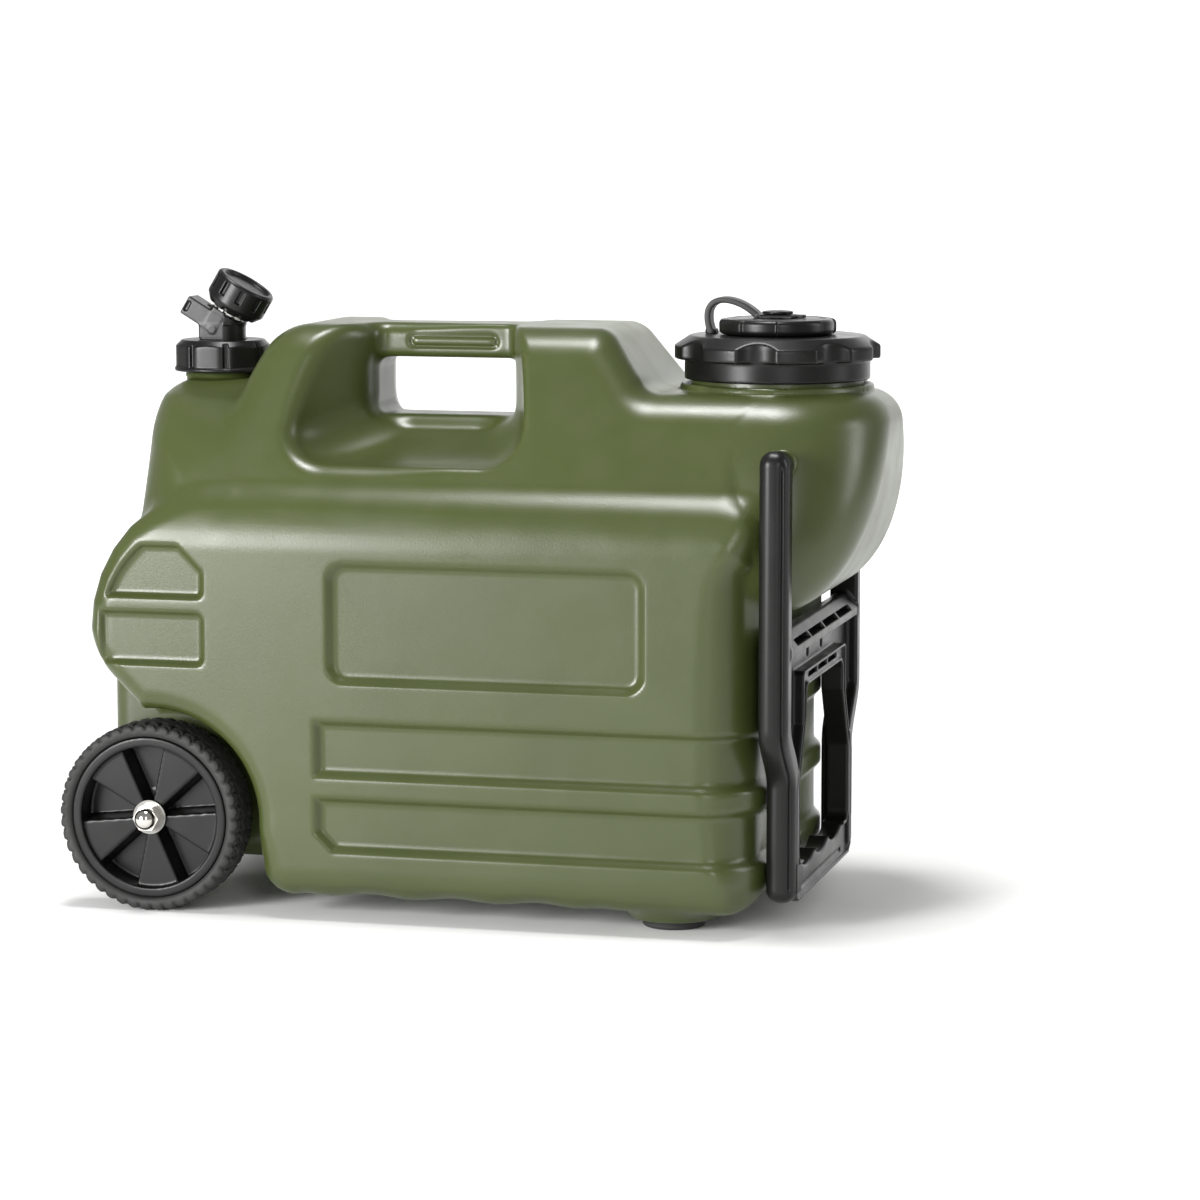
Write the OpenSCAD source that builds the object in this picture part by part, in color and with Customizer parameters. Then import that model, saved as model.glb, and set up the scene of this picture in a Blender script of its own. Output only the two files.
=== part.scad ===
// Rolling water carrier: a blow-moulded tank on two wheels, with a swinging pull handle,
// a wide screw lid that holds a small filler cap on a strap, and a dispensing tap.
// Millimetres. +X runs to the pull-handle end and +Z is up. The origin lies on the ground,
// under the middle of the object.

/* [Tank] */
// Length from the wheels to the bulge under the wide lid
overall_l = 523.5; // [510:0.5:545]
// Width of the lower block
body_w = 250; // [236:1:262]
// Width of the upper part, at the top of the shoulder
upper_w = 200; // [188:1:206]
// Wall of the moulding
wall = 3; // [2:0.25:4]
// Height of the underside above the ground
base_z = 13; // [10:0.5:16]
// Height where the front face starts to turn into the shoulder
shoulder_foot = 257; // [248:1:264]
// Height where the shoulder meets the upper part
shoulder_top = 287; // [280:1:292]
// Height of the deck round the tap
tap_deck = 328; // [320:0.5:331]
// Height of the deck round the wide lid
lid_deck = 335.5; // [331:0.5:339]
// Height of the top of the carrying grip
grip_top = 375; // [368:0.5:384]
// How far the bulge under the lid stands past the end of the lower block
bulge_reach = 64; // [54:0.5:70]
// Lowest point of the bulge
bulge_low = 205; // [190:1:220]
// How far the upper part is set back at the tap end
tap_end_setback = 28; // [24:0.5:38]
// Radius of the upright corners at the handle end
end_corner_r = 45; // [35:1:55]
// Radius of the upright corners at the wheel end
wheel_end_corner_r = 40; // [32:1:48]
// Radius of the edge round the underside
base_edge_r = 22; // [14:1:28]

/* [Carrying grip] */
// Middle of the grip block along the tank
grip_x = -19; // [-26:0.5:-12]
// Length of the grip block at half its height
grip_block_l = 262; // [250:1:270]
// Thickness of the grip bar from front to back
grip_bar_w = 38; // [30:1:44]
// Height of the grip bar
grip_bar_h = 22.4; // [18:0.2:26]
// Length of the hand hole
hand_hole_l = 94; // [84:1:104]
// Middle of the hand hole along the tank
hand_hole_x = -29; // [-34:0.5:-24]
// Height of the crest in the floor of the scoop
scoop_crest = 316; // [310:1:322]
// Height of the lip at the mouth of the scoop
scoop_lip = 286; // [282:1:292]
// How far the mouth of the scoop runs past the hand hole at the tap end
scoop_flare_tap = 43; // [34:1:48]
// How far the mouth of the scoop runs past the hand hole at the lid end
scoop_flare_lid = 22; // [16:1:28]

/* [Moulded recesses] */
// Depth of the panel, the strips and the small recesses
recess_depth = 3; // [2:0.25:4]
// Length of the panel
panel_l = 198; // [180:1:210]
// Height of the panel
panel_h = 68; // [56:1:76]
// Middle of the panel along the tank
panel_x = 24.5; // [16:0.5:32]
// Height of the middle of the panel
panel_z = 191.5; // [184:0.5:198]
// Start of the strips along the tank
strip_x = -84; // [-96:1:-72]
// Height of each strip
strip_h = 34; // [28:0.5:38]
// Height of the middle of the lower strip
strip_low_z = 62.5; // [58:0.5:66]
// Height of the middle of the upper strip
strip_high_z = 111.2; // [108:0.1:116]
// Length of the small recesses above the wheel
vent_l = 78; // [66:1:86]
// Height of each small recess
vent_h = 33; // [26:0.5:36]
// Height of the middle of the lower small recess
vent_low_z = 178; // [174:0.5:182]
// Height of the middle of the upper small recess
vent_high_z = 221; // [218:0.5:226]

/* [Wheels] */
// Radius of the wheels over the tyre
wheel_r = 61; // [54:0.5:66]
// Width of a wheel over the tyre
wheel_w = 34; // [28:0.5:36]
// Radius where the tyre sits on the rim
rim_r = 52; // [46:0.5:56]
// Distance between the inner faces of the wheel wells
well_gap = 160; // [150:1:166]
// Radius of the axle rod
axle_r = 5; // [4:0.25:6]
// Radius of the arch over the wheel
well_r = 70; // [67:1:78]
// Number of raised sectors on the face of a wheel
sector_count = 5; // [4:1:7]

/* [Wide lid] */
// Radius over the lobes of the lid
lid_r = 65.7; // [62:0.1:68]
// Radius of the lid's skirt
lid_skirt_r = 59.3; // [57.5:0.1:61]
// Radius of the neck under the lid
lid_neck_r = 55; // [53.5:0.1:55.6]
// Bore of the neck, as a radius
lid_bore_r = 49.5; // [46:0.1:50.5]
// Number of lobes on the lid
lobe_count = 8; // [6:1:10]
// Height of the top face of the lid
lid_top = 370; // [368:0.25:374]

/* [Filler cap] */
// Radius of the small cap
cap_r = 37.4; // [35.5:0.1:40]
// Radius of the filler spout under the small cap
spout_r = 31; // [29:0.1:32.4]
// Height of the top of the small cap
cap_top = 380.4; // [379:0.1:384]
// Radius of the button that holds the strap
button_r = 10; // [8:0.25:12]
// Width of the strap
strap_w = 10; // [8:0.25:12]
// Thickness of the strap
strap_t = 2; // [1.5:0.1:2.5]

/* [Tap] */
// Radius of the ring nut
nut_r = 31.2; // [29.5:0.1:33]
// Height of the ring nut
nut_h = 20.5; // [19:0.5:23]
// Radius of the neck under the tap
tap_neck_r = 24; // [22:0.1:25]
// Bore of the neck under the tap, as a radius
tap_bore_r = 19; // [16:0.1:20]
// Radius of the tap knob
knob_r = 20.2; // [18:0.1:21]
// Height of the tap knob
knob_h = 21; // [19:0.5:23]
// Lean of the knob's axis from upright, in degrees
knob_lean = 31; // [28:0.5:33]
// Number of slots round the knob
knob_slots = 10; // [6:1:14]
// Radius of the valve spindle
spindle_r = 4; // [3:0.1:4.5]
// Length of the spout from the middle of the tap
spout_l = 28; // [25:0.5:32]

/* [Pull handle] */
// Width of an arm, seen from the side of the tank
arm_w = 19; // [17:0.5:21]
// Thickness of an arm
arm_t = 17; // [14:0.5:17.4]
// Height of the pivots
pivot_z = 296; // [292:0.5:300]
// Height of the bottom of the handle
handle_low = 20; // [17:0.5:24]
// How far the arms draw in towards the grip
arm_draw_in = 26; // [20:0.5:30]
// Height where an arm starts to draw in
draw_in_top = 134; // [128:1:140]
// Height where an arm is straight again
draw_in_low = 94; // [88:1:100]
// Height of the middle of the crossbar
crossbar_z = 184.5; // [181:0.5:189]
// Half width of the window in the handle
window_half_w = 59.5; // [54:0.5:63]
// Radius of the pivot studs
stud_r = 6; // [5:0.25:7]

/* [Feet] */
// Radius of the rubber feet
foot_r = 20; // [16:0.5:23]
// Place of the feet along the tank
foot_x = 136; // [124:1:146]
// Distance between the middles of the feet
foot_gap = 154; // [140:1:164]

/* [Clearances] */
// Radial clearance of a shaft that turns in its hole
run_fit = 0.06; // [0.03:0.01:0.09]
// Gap between faces that move past each other
free_gap = 0.35; // [0.3:0.05:0.5]

/* [Hidden] */
$fn = 64;
eps = 0.01;

green = "darkolivegreen";
black = [0.14, 0.14, 0.145];
rubber = [0.1, 0.1, 0.1];
steel = "silver";

// Places along the tank
bulge_x = overall_l / 2;
axle_x = wheel_r - overall_l / 2;
axle_z = wheel_r;
tank_left_reach = 46.25;
tank_left = axle_x - tank_left_reach;
tank_right = bulge_x - bulge_reach;
lid_from_bulge = 77;
lid_x = bulge_x - lid_from_bulge;
tap_from_left = 57.75;
tap_x = tank_left + tap_from_left;
block_left = grip_x - grip_block_l / 2;
block_right = grip_x + grip_block_l / 2;

// Rounds and leans of the tank's form
deck_edge_r = 22;
block_foot_r = 13;
block_tap_r = 38;
block_lid_r = 20;
block_lid_lean = 0.3;
block_corner_r = 26;
block_edge_r = 12;
upper_draft = 0.46;
bulge_mid = 310;
bulge_root = 10;
bulge_corner = 60;
bulge_taper = 0.12;
lean_foot = 212;
corner_growth = 35;
corner_growth_foot = 205;
corner_growth_rise = 60;
strip_ramp = 4;
strip_chamfer_z = 4.5;
strip_mid = [strip_low_z, strip_high_z];
deck_step = 0.6;
level_step = 0.5;

function ease(t) = let (c = min(1, max(0, t))) c * c * (3 - 2 * c);

// How far a rounded edge of radius r lies inside its face, at a depth d below the end plane
function edge_in(d, r) = d >= r ? 0 : d <= 0 ? r : r - sqrt(r * r - (r - d) * (r - d));

// How far a rounded corner lies inside an end face, at a distance y from the middle
function corner_in(y, half, r) =
    let (s = min(r, max(0, abs(y) - (half - r)))) r - sqrt(r * r - s * s);

// Inset of the moulded strips at a height
function strip_in(z) = max([for (mid = strip_mid)
    recess_depth * min(1, max(0, (strip_h / 2 - abs(z - mid)) / strip_ramp))]);

// Start of the strips at a height: the lower one has a slanted lower corner
function strip_start(z) = strip_x + max(0, strip_low_z - strip_chamfer_z - z);

// Half width of the tank at a height, drawn in all round by t
function half_w(z, t) =
    let (low = body_w / 2 - t,
         high = upper_w / 2 - t - upper_draft * max(0, z - shoulder_top),
         share = ease((z + t / 2 - shoulder_foot) / (shoulder_top - shoulder_foot)))
    low + (high - low) * share
        - edge_in(z - base_z - t, base_edge_r) - edge_in(grip_top - t - z, block_edge_r);

function left_end(z, t) = z < tap_deck - t + eps
    ? tank_left + t + tap_end_setback * ease((z - lean_foot) / (shoulder_top - lean_foot))
        + edge_in(z - base_z - t, base_edge_r) + edge_in(tap_deck - t - z, deck_edge_r)
    : block_left + t - edge_in(z - tap_deck + t, block_foot_r) + edge_in(grip_top - t - z, block_tap_r);

function left_corner(z, t) = z < tap_deck - t + eps
    ? min(half_w(z, t) - 1, wheel_end_corner_r - t
        + corner_growth * ease((z - corner_growth_foot) / corner_growth_rise))
    : block_corner_r;

function right_end(z, t) = z < lid_deck - t + eps
    ? tank_right - t - edge_in(z - base_z - t, base_edge_r)
    : block_right - t - block_lid_lean * (z - lid_deck)
        + edge_in(z - lid_deck + t, block_foot_r) - edge_in(grip_top - t - z, block_lid_r);

function right_corner(z, t) = z < lid_deck - t + eps ? end_corner_r - t : block_corner_r;

// How far the bulge stands past the end of the block at a height: an ellipse up to its
// widest point, then upright, then the rounded edge of the deck
function bulge_out(z, t) =
    z > lid_deck - t + eps || z < bulge_low + t ? 0
    : z < bulge_mid ? bulge_reach * sqrt(1 - pow((bulge_mid - z) / (bulge_mid - bulge_low - t), 2))
    : bulge_reach - edge_in(lid_deck - t - z, deck_edge_r);

function bulge_half(z, t) = z > shoulder_top ? half_w(z, t)
    : upper_w / 2 - t - bulge_taper * (shoulder_top - z);

function bulge_end(y, z, t) =
    let (half = bulge_half(z, t),
         s = min(1, max(0, (abs(y) - half + bulge_corner) / bulge_corner)))
    abs(y) > half + eps || bulge_out(z, t) == 0 ? tank_left
    : tank_right - t - bulge_root + (bulge_out(z, t) + bulge_root) * sqrt(1 - s * s);

side_steps = 9;
side_share = [for (k = [-side_steps : side_steps]) sin(90 * k / side_steps)];

// Outline of the tank at one height, counter-clockwise from above
function tank_ring(z, t) =
    let (half = half_w(z, t), sunk = strip_in(z), near = half - sunk)
    concat(
        [for (u = side_share)
            let (y = u * near,
                 main = right_end(z, t) - sunk - corner_in(y, near, right_corner(z, t)))
            [max(main, bulge_end(y, z, t)), y, z]],
        [[strip_start(z) + strip_ramp + t, near, z], [strip_start(z) + t, half, z]],
        [for (u = side_share)
            let (y = -u * half)
            [left_end(z, t) + corner_in(y, half, left_corner(z, t)), y, z]],
        [[strip_start(z) + t, -half, z], [strip_start(z) + strip_ramp + t, -near, z]]
    );

function sorted(v) = len(v) < 2 ? v
    : let (p = v[floor(len(v) / 2)])
      concat(sorted([for (x = v) if (x < p) x]), [p], sorted([for (x = v) if (x > p) x]));

// Values at least a step apart, from a sorted list
function spaced(v, step) = [for (i = [0 : len(v) - 1])
    if (i == 0 || i == len(v) - 1 || (v[i] - v[i - 1] > step && v[len(v) - 1] - v[i] > step)) v[i]];

function arc_down(z, r, n) = [for (k = [0 : n]) z - r * (1 - cos(90 * k / n))];
function arc_up(z, r, n) = [for (k = [0 : n]) z + r * (1 - cos(90 * k / n))];
function spread(z0, z1, n) = [for (k = [0 : n]) z0 + (z1 - z0) * k / n];

// Heights of the tank's outlines: those of its decks, and those of its curves that lie clear of them
function tank_levels(t) =
    let (decks = [base_z + t, tap_deck - t, tap_deck - t + deck_step,
                  lid_deck - t, lid_deck - t + deck_step, grip_top - t],
         curves = concat(
             arc_up(base_z + t, base_edge_r, 4),
             [for (mid = strip_mid, d = [-strip_h / 2, strip_ramp - strip_h / 2,
                                         strip_h / 2 - strip_ramp, strip_h / 2]) mid + d],
             [strip_low_z - strip_chamfer_z],
             arc_up(bulge_low + t, bulge_mid - bulge_low, 6),
             spread(shoulder_foot, shoulder_top, 7),
             arc_down(tap_deck - t, deck_edge_r, 4),
             arc_up(tap_deck - t + deck_step, block_foot_r, 3),
             arc_down(lid_deck - t, deck_edge_r, 4),
             arc_up(lid_deck - t + deck_step, block_foot_r, 3),
             arc_down(grip_top - t, block_tap_r, 5)))
    spaced(sorted(concat(decks, [for (z = curves) if (min([for (d = decks) abs(z - d)]) > level_step) z])),
           level_step);

function middle(ring) = [for (i = [0 : 2]) [for (p = ring) p[i]] * [for (p = ring) 1 / len(ring)]];

// Solid through rings of points, each ring counter-clockwise seen from the last one
module loft(rings) {
    n = len(rings[0]);
    last = len(rings) - 1;
    first_cap = n * len(rings);
    polyhedron(
        points = concat([for (ring = rings, p = ring) p], [middle(rings[0]), middle(rings[last])]),
        faces = concat(
            [for (j = [0 : n - 1]) [first_cap, j, (j + 1) % n]],
            [for (i = [0 : last - 1], j = [0 : n - 1])
                let (a = i * n + j, b = i * n + (j + 1) % n) [a, a + n, b + n]],
            [for (i = [0 : last - 1], j = [0 : n - 1])
                let (a = i * n + j, b = i * n + (j + 1) % n) [a, b + n, b]],
            [for (j = [0 : n - 1]) [first_cap + 1, last * n + (j + 1) % n, last * n + j]]
        ));
}

module tank_form(t) {
    loft([for (z = tank_levels(t)) tank_ring(z, t)]);
}

// A flat outline drawn in x and z, made solid between two distances from the middle plane
module across(y0, y1) {
    translate([0, y1, 0]) rotate([90, 0, 0]) linear_extrude(y1 - y0) children();
}

module both_sides() {
    children();
    mirror([0, 1, 0]) children();
}

// A rod along y
module rod(x, z, r, y0, y1) {
    translate([x, y1, z]) rotate([90, 0, 0]) cylinder(r = r, h = y1 - y0);
}

// A rod upright
module post(x, y, r, z0, z1) {
    translate([x, y, z0]) cylinder(r = r, h = z1 - z0);
}

module round_rect(l, h, r) {
    square([l - 2 * r, h], center = true);
    square([l, h - 2 * r], center = true);
    for (sx = [-1, 1], sy = [-1, 1])
        translate([sx * (l / 2 - r), sy * (h / 2 - r)]) circle(r);
}

// The wheel wells and the raised underside between them
well_x = axle_x + 2.75;
well_z = axle_z;
well_edge_r = 15;
well_edge_past = 1.5;
well_depth_z = 28;
well_heel_r = 24;
well_heel_dip = 0.4;
well_side_in = 0.4;
well_edge_in = 4;
well_step_in = 6;
well_far = 60;
well_slope_a = 10;
well_slope_w = 42;
well_slope_h = 34;
well_steps = 16;
edge_steps = 6;
heel_steps = 8;

function arc(x, z, r, from, to, n) =
    [for (k = [0 : n]) let (a = from + (to - from) * k / n) [x + r * cos(a), z + r * sin(a)]];

// The soft outer edge of the arch over the wheel
module well_edge(t) {
    inner = well_gap / 2 + well_edge_in;
    edge_y = body_w / 2 - well_edge_r + well_edge_past;
    translate([well_x, 0, well_z]) rotate([-90, 0, 0]) rotate_extrude() polygon(concat(
        [[0, inner], [well_r + t + well_side_in, inner]],
        arc(well_r + well_edge_r + well_side_in, edge_y, well_edge_r - t, 180, 90, edge_steps),
        [[well_r + well_edge_r + well_side_in, body_w], [0, body_w]]
    ));
}

// The arch, the side of the block below it with its rounded heel, and the way out at the tank's end
module well_outline(t) {
    arch_r = well_r + t;
    heel_x = well_x + arch_r + well_heel_r;
    heel_z = base_z + t + well_heel_r - well_heel_dip;
    far_x = well_x - 2 * well_far;
    slope_top = well_z + arch_r + well_slope_h;
    polygon(concat(
        arc(well_x, well_z, arch_r, 90 + well_slope_a, 0, well_steps),
        arc(heel_x, heel_z, well_heel_r, 180, 270, heel_steps),
        [[heel_x, -well_far], [far_x, -well_far], [far_x, slope_top], [well_x - well_slope_w, slope_top]]
    ));
}

module wells(t) {
    both_sides() {
        across(well_gap / 2 - t, body_w) well_outline(t);
        well_edge(t);
    }
    across(-body_w, body_w)
        translate([well_x - 2 * well_far, -well_far])
            square([2 * well_far + well_r + t - well_step_in, well_depth_z + t + well_far]);
}

// Shallow grooves across the underside
base_groove_r = 40;
base_groove_d = 2;
base_groove_count = 3;
base_groove_pitch = 55;

module base_grooves(t) {
    for (k = [0 : base_groove_count - 1])
        rod((k - (base_groove_count - 1) / 2) * base_groove_pitch, base_z - base_groove_r + base_groove_d,
            base_groove_r + t, -body_w, body_w);
}

// The scoop for the hand on each side, and the hole that joins them under the grip bar
scoop_steps = 4;
scoop_reach = 72;
scoop_corner_r = 24;
scoop_tall = 30;
hand_hole_r = 14;
scoop_points = 5;

function scoop_floor(y) = scoop_crest
    + (scoop_lip - scoop_crest) * ease((y + grip_bar_w / 2) / (scoop_reach + grip_bar_w));

function scoop_ring(share, t) =
    let (y = grip_bar_w / 2 - t + share * (scoop_reach + t) * 1.2,
         s = ease(share * 1.05),
         x0 = hand_hole_x - hand_hole_l / 2 - scoop_flare_tap * s - t,
         x1 = hand_hole_x + hand_hole_l / 2 + scoop_flare_lid * s + t,
         low = scoop_floor(y) - t,
         r = scoop_corner_r)
    concat(
        [[x1, y, grip_top + scoop_tall]],
        [for (k = [0 : scoop_points])
            let (a = 90 * k / scoop_points)
            [x1 - r + r * cos(a), y, low + r - r * sin(a)]],
        [for (k = [0 : scoop_points])
            let (a = 90 * k / scoop_points)
            [x0 + r - r * sin(a), y, low + r - r * cos(a)]],
        [[x0, y, grip_top + scoop_tall]]
    );

module scoop(t) {
    both_sides() loft([for (k = [0 : scoop_steps]) scoop_ring(k / scoop_steps, t)]);
    hole_low = scoop_crest - t;
    hole_high = grip_top - grip_bar_h + t;
    across(-grip_bar_w / 2 - 1, grip_bar_w / 2 + 1)
        translate([hand_hole_x, (hole_low + hole_high) / 2])
            round_rect(hand_hole_l + 2 * t, hole_high - hole_low, hand_hole_r);
}

panel_r = 10;
vent_r = 6;
vent_chamfer = 22;
vent_x = axle_x + 1;

module pockets(t) {
    both_sides() across(body_w / 2 - recess_depth - t, body_w) {
        translate([panel_x, panel_z]) round_rect(panel_l + 2 * t, panel_h + 2 * t, panel_r + t);
        translate([vent_x, vent_low_z]) vent(t);
        translate([vent_x, vent_high_z]) difference() {
            vent(t);
            translate([vent_l / 2 + t, vent_h / 2 + t]) rotate(45) square(vent_chamfer, center = true);
        }
    }
}

// Outline of a small recess
module vent(t) {
    round_rect(vent_l + 2 * t, vent_h + 2 * t, vent_r + t);
}

// Groove round a long field on each side of the grip bar
bar_groove_l = 60;
bar_groove_h = 9;
bar_groove_w = 2.6;
bar_groove_d = 1.2;
bar_groove_x = hand_hole_x + 4;

module bar_grooves() {
    both_sides() across(grip_bar_w / 2 - bar_groove_d, grip_bar_w / 2 + 1)
        translate([bar_groove_x, grip_top - grip_bar_h / 2]) difference() {
            round_rect(bar_groove_l, bar_groove_h, bar_groove_h / 2 - 0.1);
            round_rect(bar_groove_l - 2 * bar_groove_w, bar_groove_h - 2 * bar_groove_w,
                       bar_groove_h / 2 - bar_groove_w - 0.1);
        }
}

// Necks of the tank, the seats for the feet and the sockets for the pull handle
lid_bead_r = 61.6;
lid_bead_h = 4.5;
lid_gasket_t = 2;
lid_gap_z = lid_deck + 6.5;
lid_rim_z = lid_top - 16;
tap_bead_r = tap_neck_r + 1.2;
tap_bead_h = 3;
tap_bead_z = tap_deck + 8.5;
tap_nut_z = tap_deck + 12.8;
nut_top = tap_nut_z + nut_h;
nut_lip_t = 3.5;
flange_t = 5;
tap_gasket_t = 2;
flange_z = nut_top - nut_lip_t - free_gap - flange_t;
tap_rim_z = flange_z - tap_gasket_t;
neck_root = 12;

arm_gap = 0.75;
pivot_x = tank_right + arm_gap + arm_w / 2;
arm_inner = body_w / 2 - arm_t;
pivot_boss_wall = 3.2;
pivot_boss_r = stud_r + pivot_boss_wall;
pivot_boss_h = 14;
boss_face = upper_w / 2 + 1.5;
socket_wall = 4;
socket_depth = 12;

foot_pad_h = 5;
foot_boss_r = foot_r + 6;
foot_boss_spread = 12;
foot_stem_r = 5;
foot_stem_h = 7;

axle_tube_wall = 4;

module bead(x, z, r, h, bore) {
    translate([x, 0, z]) rotate_extrude() {
        translate([bore, -h / 2]) square([r - bore - h / 2, h]);
        translate([r - h / 2, 0]) circle(h / 2);
    }
}

module tank_solid() {
    difference() {
        tank_form(0);
        wells(0);
        scoop(0);
        pockets(0);
        bar_grooves();
        base_grooves(0);
    }
    post(lid_x, 0, lid_neck_r, lid_deck - neck_root, lid_rim_z);
    bead(lid_x, lid_deck + lid_bead_h / 2, lid_bead_r, lid_bead_h, lid_bore_r);
    post(tap_x, 0, tap_neck_r, tap_deck - neck_root, tap_rim_z);
    bead(tap_x, tap_bead_z, tap_bead_r, tap_bead_h, tap_bore_r);
    both_sides() {
        translate([foot_x, foot_gap / 2, foot_pad_h])
            cylinder(r1 = foot_boss_r, r2 = foot_boss_r + foot_boss_spread, h = base_z + wall - foot_pad_h);
        rod(pivot_x, pivot_z, pivot_boss_r, boss_face - pivot_boss_h, boss_face);
    }
}

module tank_void() {
    difference() {
        tank_form(wall);
        wells(wall);
        scoop(wall);
        pockets(wall);
        base_grooves(wall);
        rod(axle_x, axle_z, axle_r + axle_tube_wall, -body_w, body_w);
        both_sides() rod(pivot_x, pivot_z, stud_r + socket_wall,
                         boss_face - socket_depth - socket_wall, body_w);
    }
}

module tank() {
    color(green) difference() {
        tank_solid();
        tank_void();
        post(lid_x, 0, lid_bore_r, lid_deck - neck_root - wall, lid_rim_z + 1);
        post(tap_x, 0, tap_bore_r, tap_deck - neck_root - wall, tap_rim_z + 1);
        rod(axle_x, axle_z, axle_r + run_fit, -body_w, body_w);
        both_sides() {
            rod(pivot_x, pivot_z, stud_r + run_fit, boss_face - socket_depth, body_w);
            post(foot_x, foot_gap / 2, foot_stem_r + run_fit, -1, foot_pad_h + foot_stem_h + run_fit);
        }
    }
}

// Rubber feet, each with a stem up into the tank
foot_edge_r = 2;

module foot(side) {
    color(rubber) translate([foot_x, side * foot_gap / 2, 0]) {
        rotate_extrude() {
            square([foot_r - foot_edge_r, foot_pad_h]);
            translate([0, foot_edge_r]) square([foot_r, foot_pad_h - foot_edge_r]);
            translate([foot_r - foot_edge_r, foot_edge_r]) circle(foot_edge_r);
        }
        cylinder(r = foot_stem_r, h = foot_pad_h + foot_stem_h);
    }
}

module foot_left() foot(1);
module foot_right() foot(-1);

// Axle, wheels and what holds them, from the well outwards
inner_washer_t = 2;
wheel_set_out = 8;
hub_face = well_gap / 2 + wheel_set_out + wheel_w - 5;
outer_washer_t = 1.5;
nut_body_h = 7;
dome_r = 7;
nut_across = 15;
axle_past_nut = 4;
washer_r = 11;
hub_r = 16;
rim_lip = 4;
rim_plate_t = 4;
sector_rise = 2.2;
tyre_round = 0.46 * (wheel_r - rim_r);
tread_count = 36;
tread_w = 3;
tread_l = 9;
tread_d = 1.6;

well_face = well_gap / 2;
wheel_inner = well_face + wheel_set_out;
wheel_outer = wheel_inner + wheel_w;
hub_inner = well_face + inner_washer_t + free_gap;
nut_seat = hub_face + outer_washer_t + free_gap;

// Half of an object that runs along y, drawn at the positive side
module at_side(side) {
    if (side > 0) children();
    else mirror([0, 1, 0]) children();
}

// Ring about the axle between two distances from the middle plane
module axle_ring(r, bore, y0, y1) {
    difference() {
        rod(axle_x, axle_z, r, y0, y1);
        rod(axle_x, axle_z, bore, y0 - 1, y1 + 1);
    }
}

module axle() {
    reach = nut_seat + axle_past_nut;
    color(steel) rod(axle_x, axle_z, axle_r, -reach, reach);
}

module axle_washers() {
    color(steel) both_sides() {
        axle_ring(washer_r, axle_r, well_face, well_face + inner_washer_t);
        axle_ring(washer_r, axle_r, nut_seat - outer_washer_t, nut_seat);
    }
}

module dome_nuts() {
    color(steel) both_sides() difference() {
        union() {
            translate([axle_x, nut_seat, axle_z]) rotate([-90, 0, 0])
                cylinder(r = nut_across / sqrt(3), h = nut_body_h, $fn = 6);
            translate([axle_x, nut_seat + nut_body_h, axle_z]) sphere(dome_r);
        }
        rod(axle_x, axle_z, axle_r, nut_seat - 1, nut_seat + axle_past_nut);
    }
}

// Flat sector of a disc, seen along the axle
module sector(r, angle) {
    polygon(concat([[0, 0]], [for (k = [-4 : 4]) r * [sin(angle * k / 8), cos(angle * k / 8)]]));
}

module wheel_rim(side) {
    plate_out = hub_face - sector_rise;
    color(black) at_side(side) difference() {
        union() {
            axle_ring(rim_r, rim_r - rim_lip, wheel_inner + 2, wheel_outer - 1.5);
            rod(axle_x, axle_z, rim_r - rim_lip + 1, plate_out - rim_plate_t, plate_out);
            rod(axle_x, axle_z, hub_r, hub_inner, hub_face);
            across(plate_out - eps, hub_face) translate([axle_x, axle_z]) {
                for (k = [0 : sector_count - 1])
                    rotate(30 - 360 * k / sector_count) sector(rim_r - rim_lip + 0.5, 180 / sector_count);
            }
        }
        rod(axle_x, axle_z, axle_r + run_fit, 0, body_w);
    }
}

module wheel_rim_left() wheel_rim(1);
module wheel_rim_right() wheel_rim(-1);

module wheel_tyre(side) {
    color(rubber) at_side(side) translate([axle_x, wheel_inner, axle_z]) rotate([-90, 0, 0]) difference() {
        rotate_extrude() {
            translate([rim_r, 0]) square([wheel_r - rim_r - tyre_round, wheel_w]);
            translate([rim_r, tyre_round]) square([wheel_r - rim_r, wheel_w - 2 * tyre_round]);
            for (y = [tyre_round, wheel_w - tyre_round])
                translate([wheel_r - tyre_round, y]) circle(tyre_round);
        }
        for (k = [0 : tread_count - 1]) {
            rotate(360 * k / tread_count) translate([wheel_r - tread_d, -tread_w / 2, -1])
                cube([2 * tread_d, tread_w, tread_l + 1]);
            rotate(360 * (k + 0.5) / tread_count)
                translate([wheel_r - tread_d, -tread_w / 2, wheel_w - tread_l])
                    cube([2 * tread_d, tread_w, tread_l + 1]);
        }
    }
}

module wheel_tyre_left() wheel_tyre(1);
module wheel_tyre_right() wheel_tyre(-1);

// Pull handle: two round-faced arms, a crossbar, a recessed web and a framed window
pivot_to_arm_top = 10;
arm_front = pivot_x + arm_w / 2;
arm_back = pivot_x - arm_w / 2;
arm_top = pivot_z + pivot_to_arm_top;
arm_mid_top = body_w / 2 - arm_t / 2;
arm_mid_low = arm_mid_top - arm_draw_in;
arm_flat = arm_t - arm_w / 2;
arm_end_flat = 0.5;
arm_points = 10;
stud_shoulder = 3;
crossbar_h = 15;
crossbar_inset = 4;
crossbar_lip = 5.5;
crossbar_slope = 8;
slot_z = crossbar_z - 3.5;
slot_h = 2.4;
slot_depth = 6;
slot_count = 4;
slot_bridge = 4;
web_t = 4;
web_hole_r = 3.5;
web_hole_y = 22;
frame_w = 10;
frame_t = 15;
window_top = crossbar_z - 31;
window_low = handle_low + 24;
window_low_half = arm_mid_low - arm_t / 2 - 2.5;
finger_count = 3;
finger_pitch = 44;
finger_depth = 7;
finger_half = finger_pitch / 2 + 1.5;
finger_r = (pow(finger_half, 2) + pow(finger_depth, 2)) / (2 * finger_depth);

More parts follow.
